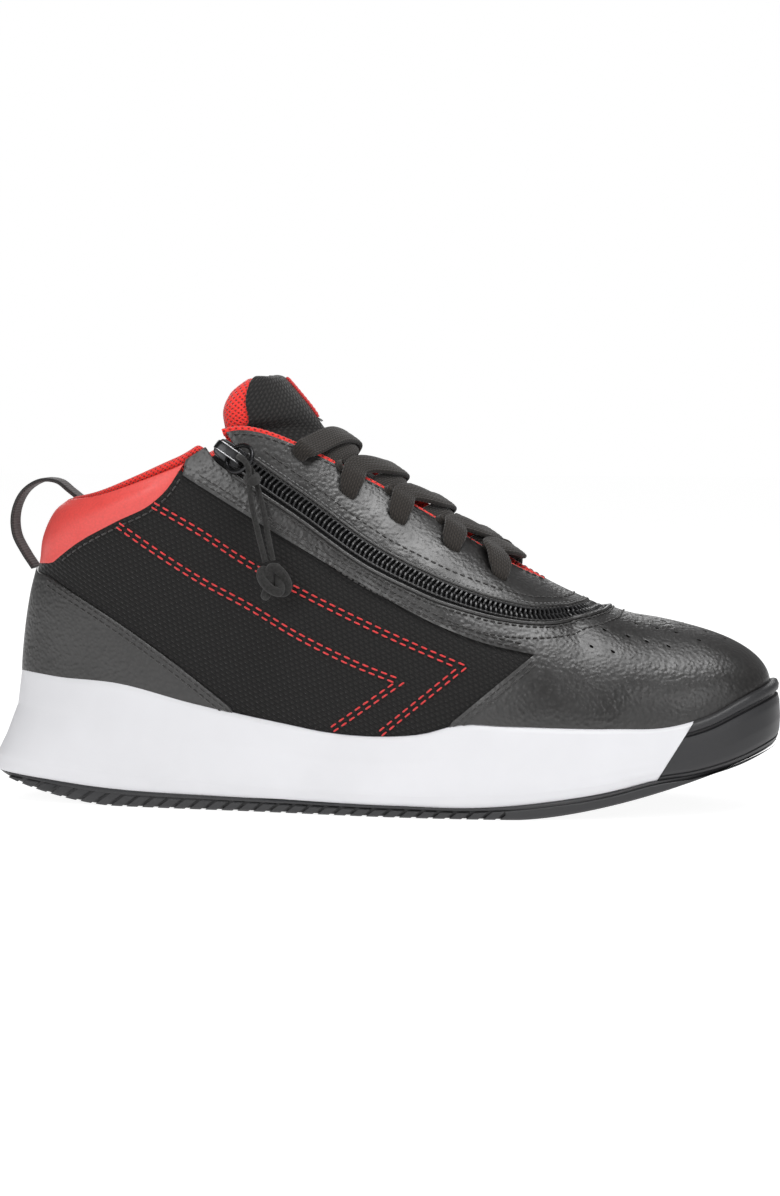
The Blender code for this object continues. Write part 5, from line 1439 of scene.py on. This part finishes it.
def pull(finish):
    """Slider, ring, doubled cord with its wrap, and the knot."""
    origin, down, across, out = frame_at(*SLIDER_AT)
    slider(finish, origin, (down, across, out))
    eye = origin + out * EYE_OUT + down * EYE_DOWN
    tilt = down * cos(radians(RING_TILT)) + out * sin(radians(RING_TILT))
    facing = np.cross(tilt, across)
    centre = eye + tilt * RING_R
    sections = [circle(p, RING_WIRE * unit(p - centre), RING_WIRE * facing, 12)
                for p in circle(centre, RING_R * tilt, RING_R * across, 64)]
    hoop = loft("pull_ring", sections, finish["metal"], closed=True, crease=180)
    on_body(hoop, "zip_ring", "metal_grey", "zip_ring")
    cord_and_knot(finish, eye + tilt * 2 * RING_R, across)


def cord_and_knot(finish, hang, across):
    """The cord that hangs through the ring at hang, the band round its two runs, and its knot."""
    knot = np.array(KNOT)
    lean = unit(knot - hang)
    deep = unit(np.cross(across, lean))
    side = unit(np.cross(lean, deep))
    route = along(CORD_ROUTE, 36) * MM
    curve = bpy.data.curves.new("pull_cord", "CURVE")
    curve.dimensions = "3D"
    curve.bevel_depth = CORD_R * MM
    curve.bevel_resolution = 4
    curve.use_fill_caps = True
    spline = curve.splines.new("POLY")
    spline.points.add(len(route) - 1)
    for point, place in zip(spline.points, route.tolist()):
        point.co = (*place, 1)
    curve.materials.append(finish["cord"])
    cord = bpy.data.objects.new("pull_cord", curve)
    bpy.context.scene.collection.objects.link(cord)
    on_body(cord, "zip_cord", "lace_black", "zip_cord")

    a = np.linspace(0, 2 * pi, 120, endpoint=False)[:, None]
    radius = KNOT_R + KNOT_SWING * np.cos(3 * a)
    path = (knot + radius * np.cos(2 * a) * side + radius * np.sin(2 * a) * KNOT_FLAT * deep
            + KNOT_REACH * np.sin(3 * a + .4) * lean)
    sections = []
    for p, ahead in zip(path, unit(np.roll(path, -1, 0) - np.roll(path, 1, 0))):
        u = unit(np.cross(ahead, p - knot))
        sections.append(circle(p, KNOT_WIRE * u, KNOT_WIRE * np.cross(ahead, u), 12))
    tied = loft("pull_knot", sections, finish["cord"], closed=True, crease=180)
    on_body(tied, "zip_cord", "lace_black", "zip_knot")
    middle = hang + lean * WRAP_AT
    hoop = circle(middle, WRAP_DEEP * (deep - .3 * lean), WRAP_SIDE * side, 40)
    sections = [circle(p, WRAP_WIRE * unit(p - middle), WRAP_WIRE * 1.7 * lean, 10) for p in hoop]
    wrap = loft("pull_cord_wrap", sections, finish["cord"], closed=True, crease=180)
    on_body(wrap, "zip_cord", "lace_black")


# ---- tongue and laces ----------------------------------------------------
def finer(grid, rows, cols):
    """The same surface with more rows and columns."""
    for count in (rows, cols):
        knots = np.arange(len(grid))
        grid = smooth(knots, grid.reshape(len(grid), -1), np.linspace(0, knots[-1], count))
        grid = grid.reshape(count, -1, 3).transpose(1, 0, 2)
    return grid


def tongue_body():
    """Outer and inner surfaces of the padded tongue, rounded together at its edges."""
    grid = finer(tongue_grid(), TONGUE_ROWS, TONGUE_COLS)
    n = grid_normals(grid)
    half = .5 * (TONGUE_T + TONGUE_SWELL * np.linspace(0, 1, TONGUE_ROWS)[:, None]**2)
    edge = np.concatenate([grid[:, 0], grid[-1], grid[:, -1]])
    reach = np.array([np.linalg.norm(row[:, None] - edge, axis=-1).min(-1) for row in grid])
    full = np.sqrt(1 - np.clip(1 - reach / TONGUE_EDGE, 0, 1)**2)
    middle = grid - n * half[..., None]
    swell = (half * full)[..., None]
    return middle + n * swell, middle - n * swell, n


def grid_sheet(name, grid, n, thick, look):
    """A thin sheet lying on a grid of points."""
    rows, cols = grid.shape[:2]
    faces = quads(rows, cols, around=False)
    lay = [(down, side, 0) for down in arc(grid[:, cols // 2]) for side in arc(grid[rows // 2])]
    obj = make(name, (grid + n * thick).reshape(-1, 3), faces, look, lay, crease=180)
    middle = obj.data.polygons[len(faces) // 2]
    if middle.normal @ Vector(n[rows // 2, cols // 2]) < 0:
        obj.data.flip_normals()
    return thicken(obj, thick, min(.3, thick * .3))


def over_the_edge(outer, inner, count=40):
    """A strip from the tongue's front over its top edge and down its back."""
    grid = np.concatenate([outer, inner[::-1][1:]])
    columns = [along(grid[:, c], count) for c in range(grid.shape[1])]
    return np.stack(columns, 1)


def fold_strip(finish):
    """Knit strip inside the medial fold, between the shoe and the throat panel."""
    line = fold_line()
    line = np.vstack([line[:1] - .6 * (line[1:2] - line[:1]), line])
    rows = [along(medial(shift(line, lap)), 60) for lap in np.linspace(-STRIP_LOW, STRIP_HIGH, 21)]
    grid = np.array([layer(row[:, 0], row[:, 1], STRIP_DEPTH) for row in rows])
    n = np.array([normal(row[:, 0], row[:, 1]) for row in rows])
    strip = grid_sheet("fold_knit_strip", grid, n, .6, finish["red_knit"])
    hinge = unit(grid[len(grid) // 2, -1] - grid[len(grid) // 2, 4])
    across = (grid[-1] - grid[0]).mean(0)
    across = unit(across - hinge * (across @ hinge))
    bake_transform(strip)


def tongue(finish):
    """The padded tongue, its mesh face, the binding over its top, and its label."""
    outer, inner, n = tongue_body()
    sections = np.concatenate([outer, inner[:, -2:0:-1]], 1)
    lay = [(run, around, 0) for run, section in zip(arc(outer[:, TONGUE_COLS // 2]), sections)
           for around in arc(section)]
    pad = loft("tongue_pad", sections, finish["red_mesh"], lay=lay, crease=180)
    on_body(pad, "throat_panel", "mesh_red", "tongue_lining")
    face = grid_sheet("tongue_face", outer[:-3, 9:-9], n[:-3, 9:-9], .8, finish["tongue_mesh"])
    on_body(face, "throat_panel", "mesh_black", "tongue")
    top = over_the_edge(outer[-10:, 22:50], inner[-10:, 22:50])
    binding = grid_sheet("tongue_top_binding", top, grid_normals(top), .9, finish["webbing"])
    on_body(binding, "throat_panel", "mesh_black")
    label(finish, outer, n)


def label(finish, outer, n):
    """Plain red woven label on the tongue's front, with loose thread ends at its lower edge."""
    up = n[LABEL_ROWS, LABEL_COLS]
    grid = outer[LABEL_ROWS, LABEL_COLS] + up * .8
    patch = grid_sheet("tongue_label_patch", grid, up, .7, finish["label"])
    on_body(patch, "throat_panel", "label_red", "tongue_label")
    rng = np.random.default_rng(7)
    ends, ahead, out = [], [], []
    for c in range(1, 20, 2):
        lift = rng.uniform(.15, .7)
        direction = unit(unit(grid[0, c] - grid[3, c]) + up[0, c] * lift + rng.uniform(-.25, .25, 3))
        ends.append(grid[0, c] + direction * .9)
        ahead.append(direction)
        out.append(up[0, c])
    beads("label_threads", np.array(ends), np.array(ahead), np.array(out), (2.4, .35, .35),
          finish["grey_thread"], "throat_panel", "label_red", .3)
    sides = [even_run(grid[1:-1, c] + up[1:-1, c] * .75, up[1:-1, c], 1.5, .6) for c in (1, -2)]
    points, ups = (np.concatenate(parts) for parts in zip(*sides))
    ahead = np.concatenate([np.gradient(line, axis=0) for line, _ in sides])
    beads("label_stitches", points, ahead, ups, (1.1, .4, .4), finish["red_thread"], "throat_panel",
          "label_red")


def throat_foot(x, z):
    """x of the throat's middle line straight across from an eyelet."""
    run = (x - THROAT_AT[0]) * SPINE[0] + (z - THROAT_AT[1]) * SPINE[2]
    return THROAT_AT[0] + SPINE[0] * run


def lace_pass(name, row, next_row, side, finish):
    """One visible pass: out of an eyelet, over the throat and under the far leather edge."""
    (qa, ta), (qb, _) = on_skin([EYELETS[row], EYELETS[next_row]])
    mid_x = (throat_foot(*EYELETS[row]) + throat_foot(*EYELETS[next_row])) / 2
    level = row == next_row
    high = side < 0 or level
    lift = LACE_HIGH if high else LACE_LOW

    def near(q, t, depth):
        return layer(q if side < 0 else 2 - q, t, depth)

    def far(q, t, depth):
        return layer(q if side > 0 else 2 - q, t, depth)

    def between(share):
        return (1 - share) * qa + share * qb
    t_mid = .45 * ta + .55 * .985
    points = [near(qa, ta - .004, 2.2), near(qa, ta - .010, -.2),
              near(qa + .001, ta + .3 * (t_mid - ta), -1.9),
              near(between(.08), t_mid, -3.0), near(between(.15), .985, -2.6 if high else -2.0),
              np.array([mid_x - 1, side * 4.0, throat_ridge(mid_x - 1) + lift - .5]),
              np.array([mid_x + 1, -side * 4.0, throat_ridge(mid_x + 1) + lift - .7]),
              far(between(.75), .995, -1.4 if level else .8)]
    if level:
        points += [far(qb, t, depth) for t, depth in (
            (.93, -2.9), (ta + .03, -2.4), (ta - .006, -.8), (ta - .01, 2.0))]
    else:
        points += [far(qb, .96, 2.1), far(qb, .93, 2.3)]
    line = along(points, 70)
    tangent = unit(np.gradient(line, axis=0))
    spine = np.array(SPINE)
    wide = unit(spine - tangent * (tangent @ spine)[:, None])
    up = np.cross(wide, tangent) * (1 if side < 0 else -1)

    def section(s):
        end = min(s, 1 - s) if level else s
        full = LACE_GATHERED + (1 - LACE_GATHERED) * min(1, end / LACE_GATHER)
        return rounded(LACE_W / 2 * full, LACE_T / 2 * (1.25 - .25 * full), 44, 3.2, 9, .07)
    return sweep(name, line, up, section, finish["lace"], crease=180)


def laces(finish):
    """Four crossings and the straight bar at the bottom."""
    passes = []
    for row in range(4):
        passes.append(lace_pass(f"lace_over_{row}", row, row + 1, -1, finish))
        passes.append(lace_pass(f"lace_under_{row}", row, row + 1, 1, finish))
    passes.append(lace_pass("lace_bar", 4, 4, -1, finish))
    on_body(passes[0], "throat_panel", "lace_black", "lace")
    for lace in passes[1:]:
        on_body(lace, "throat_panel", "lace_black")


def heel_loop(finish):
    """Ribbed webbing loop with its two sewn ends."""
    x, z = along([LOOP_ROOT, *LOOP_PATH], 96).T
    line = np.stack([x, 0 * x, z], 1)
    loop = sweep("heel_pull_loop", line, (0, 1, 0), lambda s: rounded(LOOP_T / 2, LOOP_W / 2, 40, 6),
                 finish["webbing"])
    on_body(loop, "shoe", "webbing_black", "pull_loop")


# ---- stitching -----------------------------------------------------------
def both_sides(path):
    return [path, medial(path)]


def both_heel_sides(path):
    return [path, heel_side(path)]


def mitred(points, distance):
    """A side-view line moved sideways, its corners kept sharp."""
    pts = np.asarray(points, float)
    d = unit(np.diff(pts, axis=0))
    before, after = np.vstack([d[:1], d]), np.vstack([d, d[-1:]])
    bisector = unit(before + after)
    across = np.stack([-bisector[:, 1], bisector[:, 0]], 1)
    reach = 1 / np.clip((bisector * after).sum(1), .4, 1)
    return pts + across * (distance * reach)[:, None]


def red_rows():
    """The two pairs of red decorative rows with their turned-back corner, on both sides."""
    runs = []
    for line in RED_LINES:
        for distance in (-.8, .8):
            moved = mitred(line, distance)
            for part, count in ((moved[:-1], 60), (moved[-2:], 20)):
                runs += both_sides(on_skin(along(part, count)))
    return runs


def sewing(finish):
    """Every visible row of stitches on the leather and the mesh."""
    heel, collar, band, rear = seam_set()
    heel, band, rear = heel[:-1], band[2:], rear[:-1]
    rows = []
    for lap in (1.2, 2.8):
        rows += both_sides(shift(band, lap)[:-2]) + both_sides(shift(rear, lap)[1:])
        rows += both_heel_sides(shift(heel, -lap)[1:])
    stitches("overlay_stitches", rows, finish)
    stitches("red_stitches", red_rows(), finish)
    stitches("collar_stitches", both_heel_sides(shift(collar[4:], -1.6)), finish)
    whole = zip_whole()
    whole = whole[whole[:, 0] < whole[-1, 0] - .02][4:]

    def beside_zip(lap):
        return list(split_path(shift(whole, lap)))
    stitches("band_stitches", beside_zip(-BAND_LAP - 1.2) + beside_zip(-BAND_LAP - 5.2), finish)
    stitches("eyestay_edge_stitches", beside_zip(EYESTAY_LAP + 1.1), finish)
    rows = beside_zip(EYESTAY_LAP + 4.2) + [medial(shift(fold_line()[2:], FOLD_LAP + 1.4))]
    rows += both_sides(level_run(.385, RIDGE_Q - .006, .972, 60))
    stitches("eyestay_stitches", rows, finish)
    fold_low = medial(shift(fold_line()[2:], -FOLD_LAP - 1.4))
    stitches("fold_stitches", [fold_low], finish)


# ---- stage ---------------------------------------------------------------
def area_light(name, place, target, size, power):
    """A rectangular lamp at place that faces target."""
    data = bpy.data.lights.new(name, "AREA")
    data.shape = "RECTANGLE"
    data.size, data.size_y = size
    data.energy = power
    lamp = bpy.data.objects.new(name, data)
    lamp.location = place
    lamp.rotation_euler = (Vector(target) - Vector(place)).to_track_quat("-Z", "Y").to_euler()
    bpy.context.scene.collection.objects.link(lamp)


def camera():
    """The camera at the chosen angle, looking at the shoe's middle."""
    azimuth, elevation = radians(CAMERA["azimuth"]), radians(CAMERA["elevation"])
    back = Vector((sin(azimuth) * cos(elevation), -cos(azimuth) * cos(elevation), sin(elevation)))
    data = bpy.data.cameras.new("camera")
    data.lens = CAMERA["lens"]
    eye = bpy.data.objects.new("camera", data)
    eye.location = (Vector(CAMERA["target"]) + back * CAMERA["distance"]) * MM
    eye.rotation_euler = back.to_track_quat("Z", "Y").to_euler()
    bpy.context.scene.collection.objects.link(eye)
    bpy.context.scene.camera = eye


def studio():
    """White floor, soft light from above and both sides, and a bright surround."""
    bpy.ops.mesh.primitive_plane_add(size=6, location=(0, 0, -.0002))
    floor = bpy.context.object
    floor.name = "floor"
    paint = Look("white_floor", (.30, .30, .30), .9, specular=.1)
    paint.set(Emission_Color=(1, 1, 1, 1), Emission_Strength=.92)
    floor.data.materials.append(paint.material)
    world = bpy.data.worlds.new("surround")
    world.use_nodes = True
    nodes, links = world.node_tree.nodes, world.node_tree.links
    ray = nodes.new("ShaderNodeLightPath")
    level = nodes.new("ShaderNodeMapRange")
    level.inputs["To Min"].default_value = .22
    level.inputs["To Max"].default_value = 1.0
    links.new(ray.outputs["Is Camera Ray"], level.inputs["Value"])
    links.new(level.outputs["Result"], nodes["Background"].inputs["Strength"])
    nodes["Background"].inputs["Color"].default_value = (1, 1, 1, 1)
    bpy.context.scene.world = world
    for light in LIGHTS:
        area_light(*light)
    bpy.context.scene.view_settings.view_transform = "Standard"
    bpy.context.scene.view_settings.look = "None"


def kept_nodes(finish):
    """Nodes that stay as they are get their finished materials."""
    for node, key in (("strobel_board", "board"), ("heel_stiffener", "board"), ("toe_puff", "board"),
                      ("zip_stop", "metal")):
        for material_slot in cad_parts[node].material_slots:
            material_slot.material = finish[key]


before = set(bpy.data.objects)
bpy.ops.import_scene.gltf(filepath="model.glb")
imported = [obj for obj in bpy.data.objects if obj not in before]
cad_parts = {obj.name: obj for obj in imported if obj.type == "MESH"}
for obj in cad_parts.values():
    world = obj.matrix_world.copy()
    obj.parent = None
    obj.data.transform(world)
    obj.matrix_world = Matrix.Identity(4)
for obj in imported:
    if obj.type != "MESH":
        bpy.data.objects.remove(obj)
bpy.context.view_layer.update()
camera()
studio()
finish = finishes()
pull(finish)
sole(finish)
quarter_sheet("quarter_lateral_mesh", -1, finish)
quarter_sheet("quarter_medial_mesh", 1, finish)
heel_sheet(finish)
collar_sheet(finish)
vamp_sheet(finish)
eyestay_sheet(finish)
collar_roll(finish)
lining_sock(finish)
footbed(finish)
zipper(finish)
tongue(finish)
fold_strip(finish)
laces(finish)
heel_loop(finish)
sewing(finish)
kept_nodes(finish)
